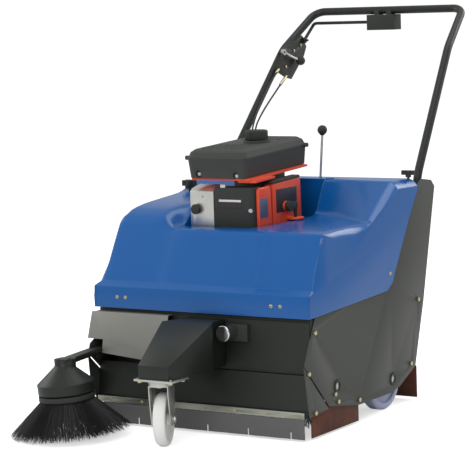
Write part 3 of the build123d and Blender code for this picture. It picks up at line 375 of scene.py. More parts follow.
def dress(node, edge=0.0012, segments=2, slot=None, angle=0.6):
    """Keeps a CAD node, gives it its finish and rounds its edges."""
    piece = frame["nodes"][node]
    piece.data.materials.clear()
    piece.data.materials.append(finishes(slot or SLOTS[node]))
    if edge:
        weld = piece.modifiers.new("Weld", "WELD")
        weld.merge_threshold = 0.000004
        flat = piece.modifiers.new("Flat faces", "DECIMATE")
        flat.decimate_type = "DISSOLVE"
        flat.angle_limit = math.radians(0.6)
        roll = piece.modifiers.new("Edges", "BEVEL")
        roll.width = edge
        roll.segments = segments
        roll.limit_method = "ANGLE"
        roll.angle_limit = math.radians(38)
        roll.use_clamp_overlap = True
        roll.miter_outer = "MITER_ARC"
    smooth = piece.modifiers.new("Smooth faces", "NODES")
    if "smooth" not in GROUPS:
        GROUPS["smooth"] = smooth_tree()
    smooth.node_group = GROUPS["smooth"]
    set_inputs(smooth, Angle=angle)
    return piece


def own(piece, body, *nodes, slot=None):
    """A new piece rides on its body and stands for its CAD nodes; its slot argument is not used."""
    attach(piece, body)
    if nodes:
        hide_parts(*nodes)
    return piece


def mesh_object(name, mesh, slot=None, angle=35):
    piece = bpy.data.objects.new(name, mesh)
    bpy.context.scene.collection.objects.link(piece)
    if slot:
        mesh.materials.append(finishes(slot))
    mesh.shade_smooth()
    mesh.set_sharp_from_angle(angle=math.radians(angle))
    return piece


def mesh_from(points, faces, name):
    """Mesh of points in the building datum, merged, with its faces outwards."""
    work = bmesh.new()
    made = [work.verts.new(place(*p)) for p in points]
    for face in faces:
        corners = [made[i] for i in face]
        if len({tuple(v.co) for v in corners}) > 2:
            work.faces.new(corners)
    bmesh.ops.remove_doubles(work, verts=work.verts, dist=0.00002)
    bmesh.ops.dissolve_degenerate(work, edges=work.edges, dist=0.00002)
    bmesh.ops.recalc_face_normals(work, faces=work.faces)
    mesh = bpy.data.meshes.new(name)
    work.to_mesh(mesh)
    work.free()
    return mesh


def applied(piece):
    """Turns a piece with modifiers, or a curve, into a plain mesh of its own."""
    bpy.context.view_layer.update()
    evaluated = piece.evaluated_get(bpy.context.evaluated_depsgraph_get())
    return bpy.data.meshes.new_from_object(evaluated)


def settle(piece, angle=35):
    """Applies a piece's modifiers and removes them."""
    mesh = applied(piece)
    piece.modifiers.clear()
    old, piece.data = piece.data, mesh
    mesh.name = old.name
    mesh.shade_smooth()
    mesh.set_sharp_from_angle(angle=math.radians(angle))
    return piece


def turned(name, profile, centre, axis, segments=48, slot=None, angle=35):
    """Solid of revolution: (radius, height) pairs along an axis from a centre, all in metres."""
    work = bmesh.new()
    turn = Vector(axis).to_track_quat("Z", "Y").to_matrix().to_4x4()
    home = Matrix.Translation(centre) @ turn
    rings = []
    for radius, height in profile:
        count = 1 if radius < 1e-6 else segments
        rings.append([work.verts.new(home @ Vector((
            radius * math.cos(math.tau * k / segments),
            radius * math.sin(math.tau * k / segments), height))) for k in range(count)])
    for low, high in zip(rings, rings[1:]):
        for k in range(segments):
            loop = [low[k % len(low)], low[(k + 1) % len(low)],
                    high[(k + 1) % len(high)], high[k % len(high)]]
            loop = list(dict.fromkeys(loop))
            if len(loop) > 2:
                work.faces.new(loop)
    bmesh.ops.recalc_face_normals(work, faces=work.faces)
    mesh = bpy.data.meshes.new(name)
    work.to_mesh(mesh)
    work.free()
    return mesh_object(name, mesh, slot, angle)


def interp(x, xs, ys):
    if x <= xs[0]:
        return ys[0]
    for x0, x1, y0, y1 in zip(xs, xs[1:], ys, ys[1:]):
        if x <= x1:
            return y0 + (y1 - y0) * (x - x0) / (x1 - x0)
    return ys[-1]


def smoothstep(a, b, x):
    t = min(1.0, max(0.0, (x - a) / (b - a)))
    return t * t * (3 - 2 * t)


# ---- hood ----------------------------------------------------------------------------------------

HALF = 390.0
HOLE_LEFT, HOLE_RIGHT, HOLE_BACK, HOLE_FLOOR = -165.0, 100.0, 625.0, 548.0
CREASE_Y = [0, 7, 92, 185, 268, 339, 382, 427, 500, 575, 620, 712]
CREASE_Z = [430, 435, 455, 482, 525, 570, 602, 634, 682, 698, 698, 694]
ROUND = 6
FACE_STEPS = [0.0, 0.05, 0.35, 0.7, 0.93]


def rounding(before, corner, after, radius):
    """Points of one rounded corner of a section."""
    a, p, b = (Vector((*q, 0)) for q in (before, corner, after))
    u, v = a - p, b - p
    turn = math.pi - u.angle(v)
    cut = min(radius * math.tan(turn / 2), 0.42 * u.length, 0.42 * v.length)
    start, end = p + u.normalized() * cut, p + v.normalized() * cut
    out = []
    for k in range(ROUND + 1):
        t = k / ROUND
        out.append(start * (1 - t) ** 2 + p * (2 * t * (1 - t)) + end * t ** 2)
    return [(q.x, q.y) for q in out]


def hood_section(x, proud):
    """Outline of the hood at x as (y, z) pairs, from the front lip to the back."""
    rise = smoothstep(98, 390, x)
    valley = x > 98
    deck_back = 548 - (548 - 398) * rise if valley else 505
    rear_top = 612 - (612 - 578) * rise if valley else 592
    shoulder = smoothstep(-158, -220, x)
    on_top = 1.0 if x <= HOLE_LEFT + 0.5 else 0.0
    mix = lambda a, b, s: (a[0] + (b[0] - a[0]) * s, a[1] + (b[1] - a[1]) * s)
    step = (34, 446)
    top = mix((124, 606), (140, 634), shoulder)
    high = [shoulder + (on_top - shoulder) * share for share in (0.0, 0.4, 1.0)]
    behind = [mix((186, 607.5), (186, 656), high[0]), mix((212, 608), (212, 662), high[1]),
              mix((250, 608.5), (250, 668), high[2]),
              mix((292, 609), (292, 672), on_top), mix((370, 610), (370, 678), on_top)]
    back_low = mix((deck_back, 611), (510, 684), on_top)
    back_high = mix((rear_top, 722), (592, 722), on_top)
    face = (top[0] - step[0], top[1] - step[1])
    length = math.hypot(*face)
    normal = (-face[1] / length, face[0] / length)
    side = smoothstep(-190, -120, x) * (1 - smoothstep(174, 183, x)) * proud
    first = [(y + normal[0] * side * (1 - k / ROUND), z + normal[1] * side * (1 - k / ROUND))
             for k, (y, z) in enumerate(rounding(step, top, behind[0], 24 + 46 * shoulder))]
    rows = [(0.0, 366.0), (0.0, 400.0), (2.0, 433.0)]
    for share in FACE_STEPS:
        rows.append((step[0] + normal[0] * side + (first[0][0] - normal[0] * side - step[0]) * share,
                     step[1] + normal[1] * side + (first[0][1] - normal[1] * side - step[1]) * share))
    rows += first
    rows += behind
    rows += rounding(behind[-1], back_low, back_high, 46)
    rows += rounding(back_low, back_high, (712, 720), 26)
    rows += [(HOLE_BACK, 721.3), (668, 720.8)]
    rows += rounding((668, 720.8), (712, 720), (712, 704), 9)
    rows += [(712.0, 704.0)]
    return rows


def edge_columns(sign, inset, proud):
    """Columns of points over a hood's side edge, down to the crease on its flange."""
    columns = [[] for _ in range(6)]
    inner = hood_section(sign * (HALF - 38), proud)
    for (ya, za), (y, z) in zip(inner, hood_section(sign * (HALF - inset), proud)):
        low = z if y < 3 else min(interp(y, CREASE_Y, CREASE_Z), z - 3)
        a = Vector((HALF - 38, ya, za))
        b = Vector((HALF - inset * smoothstep(2, 60, y), y, z))
        c = Vector((HALF, y, low))
        reach = 3 + 25 * smoothstep(110, 190, y)
        first = (a - b).normalized() * min(reach, 0.9 * (a - b).length)
        last = (c - b).normalized() * min(reach, 0.8 * (c - b).length)
        arc = [b + first * (1 - t) ** 2 + last * t ** 2 for t in (0, 1 / 3, 2 / 3, 1)]
        for column, point in zip(columns, [a, *arc, c]):
            column.append((sign * point.x, point.y, point.z))
    return columns


def hood_mesh(sizes):
    proud = sizes.panel_proud * 1000
    inset = sizes.corner_inset * 1000
    stations = [-330, -290, -265, -245, -228, -212, -196, -184, -174, HOLE_LEFT, -150, -138, -110,
                -60, 0, 60, HOLE_RIGHT, 130, 160, 175, 182, 200, 240, 285, 330]
    front_row = 3 + len(FACE_STEPS) + ROUND + 1
    back_row = front_row + 5 + 2 * (ROUND + 1)
    points, faces = [], []
    edge = edge_columns(-1, inset, proud)
    columns = edge[::-1]
    columns += [[(x, y, z) for y, z in hood_section(x, proud)] for x in stations]
    columns += edge_columns(1, inset, proud)
    rows = len(columns[0])
    hole_left = len(edge) + stations.index(HOLE_LEFT)
    hole_right = len(edge) + stations.index(HOLE_RIGHT)
    # the well's front right corner is rounded in plan
    soft = {0: (78, 190), 1: (93, 214)}
    for step, (x, y) in soft.items():
        columns[hole_right][front_row + step] = (x, y, columns[hole_right][front_row + step][2])
    for column in columns:
        points += column
    at = lambda column, row: column * rows + row
    for column in range(len(columns) - 1):
        for row in range(rows - 1):
            if hole_left <= column < hole_right and front_row <= row < back_row:
                continue
            faces.append((at(column, row), at(column + 1, row), at(column + 1, row + 1),
                          at(column, row + 1)))
    # walls of the engine well
    loop = [at(c, front_row) for c in range(hole_left, hole_right)]
    loop += [at(hole_right, r) for r in range(front_row, back_row)]
    loop += [at(c, back_row) for c in range(hole_right, hole_left, -1)]
    loop += [at(hole_left, r) for r in range(back_row, front_row, -1)]
    foot = len(points)
    points += [(points[i][0], points[i][1], HOLE_FLOOR) for i in loop]
    for k in range(len(loop)):
        after = (k + 1) % len(loop)
        faces.append((loop[k], loop[after], foot + after, foot + k))
    # flat side flanges below the creases
    for sign, column in ((-1, 0), (1, len(columns) - 1)):
        chain = [at(column, row) for row in range(rows)]
        extra = [(HALF * sign, 634, 582), (HALF * sign, 536, 430), (HALF * sign, 524, 408),
                 (HALF * sign, 488, 386), (HALF * sign, 250, 376)]
        low = len(points)
        points += extra
        faces.append(chain + list(range(low, low + len(extra))))
    return mesh_from(points, faces, "hood_shell")


class SWEEPER_OT_hood(bpy.types.Operator):
    """Moulded hood with its engine well"""
    bl_idname = "sweeper.hood"
    bl_label = "Hood"

    def execute(self, context):
        sizes = context.scene.sweeper_sizes
        hood = mesh_object("hood_shell", hood_mesh(sizes), "hood_blue")
        roll = hood.modifiers.new("Edges", "BEVEL")
        roll.width = sizes.edge_roll
        roll.segments = 3
        roll.limit_method = "ANGLE"
        roll.angle_limit = math.radians(32)
        roll.use_clamp_overlap = False
        wall = hood.modifiers.new("Wall", "SOLIDIFY")
        wall.thickness = sizes.hood_wall
        wall.offset = -1
        settle(hood, 32)
        own(hood, "chassis", "hood", slot="hood_blue")
        return {"FINISHED"}


# ---- fasteners -----------------------------------------------------------------------------------

def scatter_tree():
    """Puts a template on every point, turned so that its Z follows the point's direction."""
    tree, source, out = new_group("Fasteners", "GeometryNodeTree", [
        ("Geometry", "NodeSocketGeometry", None), ("Template", "NodeSocketObject", None),
        ("Scale", FLOAT, 1.0), ("Spin", FLOAT, 3.0), ("Seed", "NodeSocketInt", 4),
        ("Material", "NodeSocketMaterial", None)], [("Geometry", "NodeSocketGeometry")])
    template = add(tree, "GeometryNodeObjectInfo", {"Object": source["Template"]})
    facing = add(tree, "GeometryNodeInputNamedAttribute", {"Name": "facing"},
                 data_type="FLOAT_VECTOR").outputs[0]
    turn = add(tree, "FunctionNodeAlignRotationToVector", {"Vector": facing}, axis="Z")
    put = add(tree, "GeometryNodeInstanceOnPoints", {
        "Points": source["Geometry"], "Instance": template.outputs["Geometry"],
        "Rotation": turn.outputs[0], "Scale": source["Scale"]})
    spin = add(tree, "FunctionNodeRandomValue", {2: 0.0, 3: source["Spin"], "Seed": source["Seed"]},
               data_type="FLOAT").outputs[1]
    about = add(tree, "ShaderNodeCombineXYZ", {2: spin}).outputs[0]
    spun = add(tree, "GeometryNodeRotateInstances", {"Instances": put.outputs[0],
                                                     "Rotation": about, "Local Space": True})
    real = add(tree, "GeometryNodeRealizeInstances", {0: spun.outputs[0]})
    done = add(tree, "GeometryNodeSetMaterial", {"Geometry": real.outputs[0],
                                                 "Material": source["Material"]})
    tree.links.new(done.outputs[0], out.inputs[0])
    return tree


def scatter(name, places, template, slot, seed=4, scale=1.0, spin=3.0):
    """One piece of a template's copies at (point, direction) pairs."""
    mesh = bpy.data.meshes.new(name)
    mesh.from_pydata([tuple(p) for p, _ in places], [], [])
    facing = mesh.attributes.new("facing", "FLOAT_VECTOR", "POINT")
    facing.data.foreach_set("vector", [c for _, d in places for c in Vector(d).normalized()])
    piece = bpy.data.objects.new(name, mesh)
    bpy.context.scene.collection.objects.link(piece)
    modifier = piece.modifiers.new("Fasteners", "NODES")
    if "scatter" not in GROUPS:
        GROUPS["scatter"] = scatter_tree()
    modifier.node_group = GROUPS["scatter"]
    set_inputs(modifier, Template=template, Scale=scale, Spin=spin, Seed=seed,
               Material=finishes(slot))
    settle(piece)
    return piece


def hex_template(flats, height, washer=0.0):
    """Hexagon bolt head with its chamfered crown, on a washer."""
    work = bmesh.new()
    r = flats / math.sqrt(3)
    base = 0.0012 if washer else 0.0
    rings = [(r, base), (r, base + height * 0.8), (r * 0.87, base + height), (r * 0.5, base + height)]
    loops = [[work.verts.new((rr * math.cos(math.tau * (k + 0.5) / 6),
                              rr * math.sin(math.tau * (k + 0.5) / 6), z)) for k in range(6)]
             for rr, z in rings]
    for low, high in zip(loops, loops[1:]):
        for k in range(6):
            work.faces.new((low[k], low[(k + 1) % 6], high[(k + 1) % 6], high[k]))
    work.faces.new(loops[-1])
    work.faces.new(loops[0][::-1])
    if washer:
        rim = [[work.verts.new((rr * math.cos(math.tau * k / 20), rr * math.sin(math.tau * k / 20),
                                z)) for k in range(20)]
               for rr, z in ((washer, 0.0), (washer, base * 0.7), (washer * 0.96, base))]
        for low, high in zip(rim, rim[1:]):
            for k in range(20):
                work.faces.new((low[k], low[(k + 1) % 20], high[(k + 1) % 20], high[k]))
        work.faces.new(rim[-1])
        work.faces.new(rim[0][::-1])
    return finish_template(work, "hex_template")


def finish_template(work, name):
    bmesh.ops.recalc_face_normals(work, faces=work.faces)
    mesh = bpy.data.meshes.new(name)
    work.to_mesh(mesh)
    work.free()
    return mesh_object(name, mesh)


def pan_template(radius, height):
    """Domed screw head with a cross recess."""
    work = bmesh.new()
    count = 24
    rings = []
    for share, z in ((1.0, 0.0), (1.0, 0.35), (0.92, 0.62), (0.75, 0.85), (0.5, 0.97), (0.22, 1.0)):
        ring = []
        for k in range(count):
            angle = math.tau * k / count
            arm = abs(math.cos(2 * angle)) ** 6
            drop = 0.75 * arm if share <= 0.5 else 0.0
            ring.append(work.verts.new((radius * share * math.cos(angle),
                                        radius * share * math.sin(angle), height * (z - drop))))
        rings.append(ring)
    for low, high in zip(rings, rings[1:]):
        for k in range(count):
            work.faces.new((low[k], low[(k + 1) % count], high[(k + 1) % count], high[k]))
    hub = work.verts.new((0, 0, height * 0.3))
    for k in range(count):
        work.faces.new((rings[-1][k], rings[-1][(k + 1) % count], hub))
    work.faces.new(rings[0][::-1])
    return finish_template(work, "pan_template")


def islands(work):
    """Sets of connected vertices."""
    left, groups = set(work.verts), []
    while left:
        stack, seen = [next(iter(left))], set()
        while stack:
            v = stack.pop()
            if v not in seen:
                seen.add(v)
                stack += [e.other_vert(v) for e in v.link_edges]
        left -= seen
        groups.append(seen)
    return groups


def corners(group):
    low = Vector([min(v.co[i] for v in group) for i in range(3)])
    return low, Vector([max(v.co[i] for v in group) for i in range(3)])


def pieces_of(node):
    """Boxes of a node's separate solids, as (lowest, highest) corners."""
    work = bmesh.new()
    work.from_mesh(frame["nodes"][node].data)
    bmesh.ops.remove_doubles(work, verts=work.verts, dist=0.000004)
    boxes = [corners(group) for group in islands(work)]
    work.free()
    return sorted(boxes, key=lambda b: tuple(b[0]))


class SWEEPER_OT_fasteners(bpy.types.Operator):
    """Hood screws, strip screws and hexagon bolts"""
    bl_idname = "sweeper.fasteners"
    bl_label = "Fasteners"

    def execute(self, context):
        pan = pan_template(0.006, 0.003)
        small = pan_template(0.0045, 0.002)
        hood, strip, hexes = [], [], []
        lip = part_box("hood")[0].y
        for low, high in pieces_of("m6_screws"):
            middle = (low + high) / 2
            if high.y - low.y < 0.0085 and low.z < 0.5 and low.y < lip + 0.01:
                hood.append((Vector((middle.x, low.y + 0.003, middle.z)), (0, -1, 0)))
            elif high.x - low.x < 0.0085 and low.z < 0.5:
                out = 1 if middle.x > SHIFT_X else -1
                edge = high.x - 0.003 if out > 0 else low.x + 0.003
                hood.append((Vector((edge, middle.y, middle.z)), (out, 0, 0)))
            else:
                hexes.append((Vector((middle.x, low.y + 0.005, middle.z)), (0, -1, 0)))
        for low, high in pieces_of("flap_screws"):
            middle = (low + high) / 2
            strip.append((Vector((middle.x, low.y + 0.002, middle.z)), (0, -1, 0)))
        hexes.append((place(67, 210, 658), (0.55, -0.83, 0)))
        screws = scatter("hood_screws", hood, pan, "yellow_zinc")
        own(screws, "chassis", "m6_screws", slot="yellow_zinc")
        tank_hex = hex_template(0.0115, 0.005, 0.0068)
        tank = scatter("tank_bolts", hexes, tank_hex, "zinc", spin=0.0, seed=2)
        own(tank, "chassis", slot="zinc")
        strip_screws = scatter("strip_screws", strip, small, "yellow_zinc", seed=9)
        own(strip_screws, "chassis", "flap_screws", slot="yellow_zinc")
        box_screw = scatter("cleaner_screw", [(place(-104, 202, 701), (0, -1, 0))], small, "zinc")
        own(box_screw, "chassis", slot="zinc")
        dress("hex_bolts", 0.0008, slot="yellow_zinc")
        for template in (pan, small, tank_hex):
            bpy.data.objects.remove(template)
        return {"FINISHED"}


# ---- brooms ----------------------------------------------------------------------------------------

def strand_template(sides=3, steps=5):
    """One bristle of unit length along Z, tapered."""
    work = bmesh.new()
    rings = []
    for step in range(steps + 1):
        t = step / steps
        radius = 1.0 - 0.45 * t
        rings.append([work.verts.new((radius * math.cos(math.tau * k / sides),
                                      radius * math.sin(math.tau * k / sides), t))
                      for k in range(sides)])
    for low, high in zip(rings, rings[1:]):
        for k in range(sides):
            work.faces.new((low[k], low[(k + 1) % sides], high[(k + 1) % sides], high[k]))
    work.faces.new(rings[0][::-1])
    work.faces.new(rings[-1])
    return finish_template(work, "strand_template")


def place_strands(tree, source, out, position, direction, length, thickness):
    """Shared end of both bristle trees: strands on points along directions."""
    cloud = add(tree, "GeometryNodePoints", {"Count": source["Strands"], "Position": position})
    turn = add(tree, "FunctionNodeAlignRotationToVector", {"Vector": direction}, axis="Z")
    template = add(tree, "GeometryNodeObjectInfo", {"Object": source["Strand"]})
    scale = add(tree, "ShaderNodeCombineXYZ", {0: thickness, 1: thickness, 2: length}).outputs[0]
    put = add(tree, "GeometryNodeInstanceOnPoints", {
        "Points": cloud.outputs[0], "Instance": template.outputs["Geometry"],
        "Rotation": turn.outputs[0], "Scale": scale})
    real = add(tree, "GeometryNodeRealizeInstances", {0: put.outputs[0]})
    done = add(tree, "GeometryNodeSetMaterial", {"Geometry": real.outputs[0],
                                                 "Material": source["Material"]})
    tree.links.new(done.outputs[0], out.inputs[0])


def chance(tree, source, salt):
    seed = add(tree, "FunctionNodeRandomValue", {2: 0.0, 3: 1.0, "Seed": calc(
        tree, "ADD", source["Seed"], salt)}, data_type="FLOAT")
    return seed.outputs[1]


BRISTLE_INPUTS = [("Geometry", "NodeSocketGeometry", None), ("Strand", "NodeSocketObject", None),
                  ("Strands", "NodeSocketInt", 1000), ("Thickness", FLOAT, 0.0005),
                  ("Length", FLOAT, 0.2), ("Seed", "NodeSocketInt", 7),
                  ("Material", "NodeSocketMaterial", None)]


def cup_tree():
    """Bristles of a disc broom: rings of tufts that lean outwards."""
    tree, source, out = new_group("Disc broom", "GeometryNodeTree", BRISTLE_INPUTS + [
        ("Root", FLOAT, 0.06), ("Band", FLOAT, 0.03), ("Lean", FLOAT, 0.78),
        ("Tufts", "NodeSocketInt", 56)], [("Geometry", "NodeSocketGeometry")])
    index = tree.nodes.new("GeometryNodeInputIndex").outputs[0]
    tuft = calc(tree, "MODULO", index, source["Tufts"])
    spread = calc(tree, "MULTIPLY", calc(tree, "SUBTRACT", chance(tree, source, 1), 0.5), 0.85)
    angle = calc(tree, "DIVIDE", calc(tree, "MULTIPLY", calc(tree, "ADD", tuft, spread), math.tau),
                 source["Tufts"])
    ring = chance(tree, source, 2)
    radius = calc(tree, "ADD", source["Root"], calc(tree, "MULTIPLY", source["Band"], ring))
    wobble = calc(tree, "MULTIPLY", calc(tree, "SUBTRACT", chance(tree, source, 3), 0.5), 0.06)
    share = calc(tree, "ADD", 0.52, calc(tree, "MULTIPLY", ring, 0.48))
    lean = calc(tree, "ADD", calc(tree, "MULTIPLY", source["Lean"], share), wobble)
    swirl = calc(tree, "ADD", angle, calc(tree, "MULTIPLY", calc(
        tree, "SUBTRACT", chance(tree, source, 4), 0.5), 0.22))
    cos_a, sin_a = calc(tree, "COSINE", angle), calc(tree, "SINE", angle)
    position = add(tree, "ShaderNodeCombineXYZ", {
        0: calc(tree, "MULTIPLY", radius, cos_a), 1: calc(tree, "MULTIPLY", radius, sin_a),
        2: 0.0}).outputs[0]
    out_ward = calc(tree, "SINE", lean)
    direction = add(tree, "ShaderNodeCombineXYZ", {
        0: calc(tree, "MULTIPLY", out_ward, calc(tree, "COSINE", swirl)),
        1: calc(tree, "MULTIPLY", out_ward, calc(tree, "SINE", swirl)),
        2: calc(tree, "MULTIPLY", calc(tree, "COSINE", lean), -1.0)}).outputs[0]
    trim = calc(tree, "SUBTRACT", 1.0, calc(tree, "MULTIPLY", chance(tree, source, 5), 0.02))
    reach = calc(tree, "DIVIDE", calc(tree, "MULTIPLY", source["Length"], trim),
                 calc(tree, "COSINE", lean))
    place_strands(tree, source, out, position, direction, reach, source["Thickness"])
    return tree


def roller_tree():
    """Bristles of a roller broom: helical rows of tufts round a core along X."""
    tree, source, out = new_group("Roller broom", "GeometryNodeTree", BRISTLE_INPUTS + [
        ("Core", FLOAT, 0.045), ("Width", FLOAT, 0.65), ("Rows", "NodeSocketInt", 10)],
        [("Geometry", "NodeSocketGeometry")])
    index = tree.nodes.new("GeometryNodeInputIndex").outputs[0]
    row = calc(tree, "MODULO", index, source["Rows"])
    along = chance(tree, source, 1)
    turn = calc(tree, "DIVIDE", calc(tree, "MULTIPLY", row, math.tau), source["Rows"])
    helix = calc(tree, "ADD", turn, calc(tree, "MULTIPLY", along, 2.6))
    spread = calc(tree, "MULTIPLY", calc(tree, "SUBTRACT", chance(tree, source, 2), 0.5), 0.34)
    angle = calc(tree, "ADD", helix, spread)
    cos_a, sin_a = calc(tree, "COSINE", angle), calc(tree, "SINE", angle)
    x = calc(tree, "MULTIPLY", calc(tree, "SUBTRACT", along, 0.5), source["Width"])
    position = add(tree, "ShaderNodeCombineXYZ", {
        0: x, 1: calc(tree, "MULTIPLY", source["Core"], cos_a),
        2: calc(tree, "MULTIPLY", source["Core"], sin_a)}).outputs[0]
    direction = add(tree, "ShaderNodeCombineXYZ", {0: 0.0, 1: cos_a, 2: sin_a}).outputs[0]
    trim = calc(tree, "SUBTRACT", 1.0, calc(tree, "MULTIPLY", chance(tree, source, 3), 0.04))
    place_strands(tree, source, out, position, direction,
                  calc(tree, "MULTIPLY", source["Length"], trim), source["Thickness"])
    return tree


def broom(name, tree, home, **inputs):
    """Runs a bristle tree and puts its mesh in place."""
    piece = bpy.data.objects.new(name, bpy.data.meshes.new(name))
    bpy.context.scene.collection.objects.link(piece)
    modifier = piece.modifiers.new("Bristles", "NODES")
    modifier.node_group = tree
    set_inputs(modifier, Material=finishes("bristle"), **inputs)
    settle(piece, 60)
    piece.data.transform(home)
    return piece


def broom_home():
    """Place of the side broom's disc: its axis is the spin joint's."""
    joint = next(j for j in frame["joints"] if j["name"] == "side_broom_spin")
    axis = Vector(joint["axis"]).normalized()
    turn = axis.to_track_quat("Z", "Y").to_matrix().to_4x4()
    return Matrix.Translation(Vector(joint["pos_m"])) @ turn


class SWEEPER_OT_brooms(bpy.types.Operator):
    """Bristles, disc and core of both brooms"""
    bl_idname = "sweeper.brooms"
    bl_label = "Brooms"

    def execute(self, context):
        sizes = context.scene.sweeper_sizes
        strand = strand_template()
        root = 0.1035
        cup = broom("side_bristles", cup_tree(), broom_home() @ Matrix.Translation((0, 0, root)),
                    Strand=strand, Strands=sizes.side_strands, Thickness=sizes.strand / 2,
                    Length=root - 0.003, Root=0.052, Band=0.028, Lean=sizes.side_lean, Seed=11,
                    Tufts=44)
        own(cup, "side_broom", "side_broom_bristles", slot="bristle")
        hub = frame["nodes"]["broom_core"]
        low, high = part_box("broom_bristles")
        centre = (low + high) / 2
        core, reach = 0.0452, (high.z - low.z) / 2
        roller = broom("main_bristles", roller_tree(), Matrix.Translation(centre),
                       Strand=strand, Strands=sizes.main_strands, Thickness=0.0008,
                       Length=reach - core, Core=core, Width=high.x - low.x - 0.004, Seed=5,
                       Rows=10)
        own(roller, "main_broom", "broom_bristles", slot="bristle")
        dress("side_broom_disc", 0.002)
        dress("side_arm", 0.0015)
        dress(hub["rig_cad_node"], 0.0015)
        bpy.data.objects.remove(strand)
        return {"FINISHED"}


# ---- sheet metal, rubber and running gear ----------------------------------------------------------

class SWEEPER_OT_sheets(bpy.types.Operator):
    """Side panels, frame, front sheets, bracket and hopper"""
    bl_idname = "sweeper.sheets"
    bl_label = "Sheet metal"

    def execute(self, context):
        for node, edge in (("side_panel_left", 0.001), ("side_panel_right", 0.001),
                           ("corner_plates", 0.001), ("frame", 0.0008),
                           ("front_panel_grey", 0.0008), ("front_panel_black", 0.0008),
                           ("apron", 0.0008), ("caster_bracket", 0.0022),
                           ("rear_panel", 0.0012), ("broom_tunnel", 0.0008),
                           ("hopper", 0.001), ("dust_filter", 0.002), ("handle_brackets", 0.001)):
            dress(node, edge)
        dress("flap_strip", 0.0008, slot="strip_zinc")
        return {"FINISHED"}


class SWEEPER_OT_running_gear(bpy.types.Operator):
    """Caster, wheels, shafts, pulleys and belt"""
    bl_idname = "sweeper.running_gear"
    bl_label = "Running gear"

    def execute(self, context):
        for node, edge in (("caster_plate", 0.001), ("caster_fork", 0.0015),
                           ("caster_axle", 0.0007), ("caster_wheel", 0.003), ("rear_axle", 0.001),
                           ("rear_wheels", 0.003), ("broom_pulley", 0.001),
                           ("engine_pulley", 0.001), ("broom_belt", 0.001)):
            dress(node, edge, 3)
        dress("bearings", 0.001, slot="black_paint")
        return {"FINISHED"}


def flap_mesh(low, high):
    """Rubber flap, gently waved, with slits from its lower edge."""
    columns, rows = 150, 6
    depth = high.y - low.y
    slits = [round(columns * s) for s in (0.04, 0.2, 0.37, 0.54, 0.73, 0.93)]
    work = bmesh.new()
    grid = {}
    for side in (0, 1):
        for c in range(columns + 1):
            x = low.x + (high.x - low.x) * c / columns
            for r in range(rows + 1):
                t = r / rows
                z = high.z + (low.z - high.z) * t
                sway = 0.0006 * math.sin(c * 0.42) * t + 0.0004 * math.sin(c * 0.13 + 1) * t
                inner = 0.0006 if side else -0.0006
                y = low.y + depth * (0.15 + 0.7 * side) + sway - inner * (r == 3)
                grid[side, c, r] = work.verts.new((x, y, z))
    for side in (0, 1):
        for c in range(columns):
            for r in range(rows):
                if c in slits and r >= 4:
                    continue
                ring = [grid[side, c, r], grid[side, c + 1, r], grid[side, c + 1, r + 1],
                        grid[side, c, r + 1]]
                work.faces.new(ring)
    front = {key: v for key, v in grid.items() if key[0] == 0}
    for edge in [e for e in work.edges if len(e.link_faces) == 1]:
        keys = [k for v in edge.verts for k, w in front.items() if w is v]
        if len(keys) == 2:
            a, b = keys
            work.faces.new([grid[0, a[1], a[2]], grid[0, b[1], b[2]], grid[1, b[1], b[2]],
                            grid[1, a[1], a[2]]])
    loose = [v for v in work.verts if not v.link_faces]
    bmesh.ops.delete(work, geom=loose, context="VERTS")
    bmesh.ops.recalc_face_normals(work, faces=work.faces)
    mesh = bpy.data.meshes.new("front_flap_rubber")
    work.to_mesh(mesh)
    work.free()
    return mesh


class SWEEPER_OT_rubber(bpy.types.Operator):
    """Front flap with its slits, and the side and rear skirts"""
    bl_idname = "sweeper.rubber"
    bl_label = "Rubber"

    def execute(self, context):
        flap = mesh_object("front_flap_rubber", flap_mesh(*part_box("front_flap")), "rubber")
        own(flap, "flap", "front_flap", slot="rubber")
        dress("rubber_skirts", 0.0008, slot="skirt_rubber")
        return {"FINISHED"}


# ---- engine ----------------------------------------------------------------------------------------

def fluted(name, low, high, flutes, slot):
    """Knurled cap with a rolled top edge and a raised rim, inside a box."""
    centre = (low + high) / 2
    radius = (high.x - low.x) / 2
    height = high.z - low.z
    count = flutes * 6
    work = bmesh.new()
    rows = [(0.94, 0.0, 0), (1.0, 0.06, 1), (1.0, 0.5, 1), (1.0, 0.8, 1), (0.985, 0.9, 0.7),
            (0.93, 0.97, 0.0), (0.86, 1.0, 0.0), (0.8, 1.0, 0.0), (0.77, 0.93, 0.0),
            (0.4, 0.93, 0.0), (0.36, 0.97, 0.0), (0.0, 0.97, 0.0)]
    rings = []
    for share, level, cut in rows:
        if share == 0:
            rings.append([work.verts.new((centre.x, centre.y, low.z + height * level))])
            continue
        ring = []
        for k in range(count):
            angle = math.tau * k / count
            groove = 0.035 * cut * (0.5 + 0.5 * math.cos(flutes * angle)) ** 2
            r = radius * (share - groove)
            ring.append(work.verts.new((centre.x + r * math.cos(angle),
                                        centre.y + r * math.sin(angle), low.z + height * level)))
        rings.append(ring)
    for a, b in zip(rings, rings[1:]):
        for k in range(count):
            loop = list(dict.fromkeys([a[k], a[(k + 1) % count], b[(k + 1) % len(b)],
                                       b[k % len(b)]]))
            work.faces.new(loop)
    work.faces.new(rings[0][::-1])
    bmesh.ops.recalc_face_normals(work, faces=work.faces)
    mesh = bpy.data.meshes.new(name)
    work.to_mesh(mesh)
    work.free()
    return mesh_object(name, mesh, slot, 50)


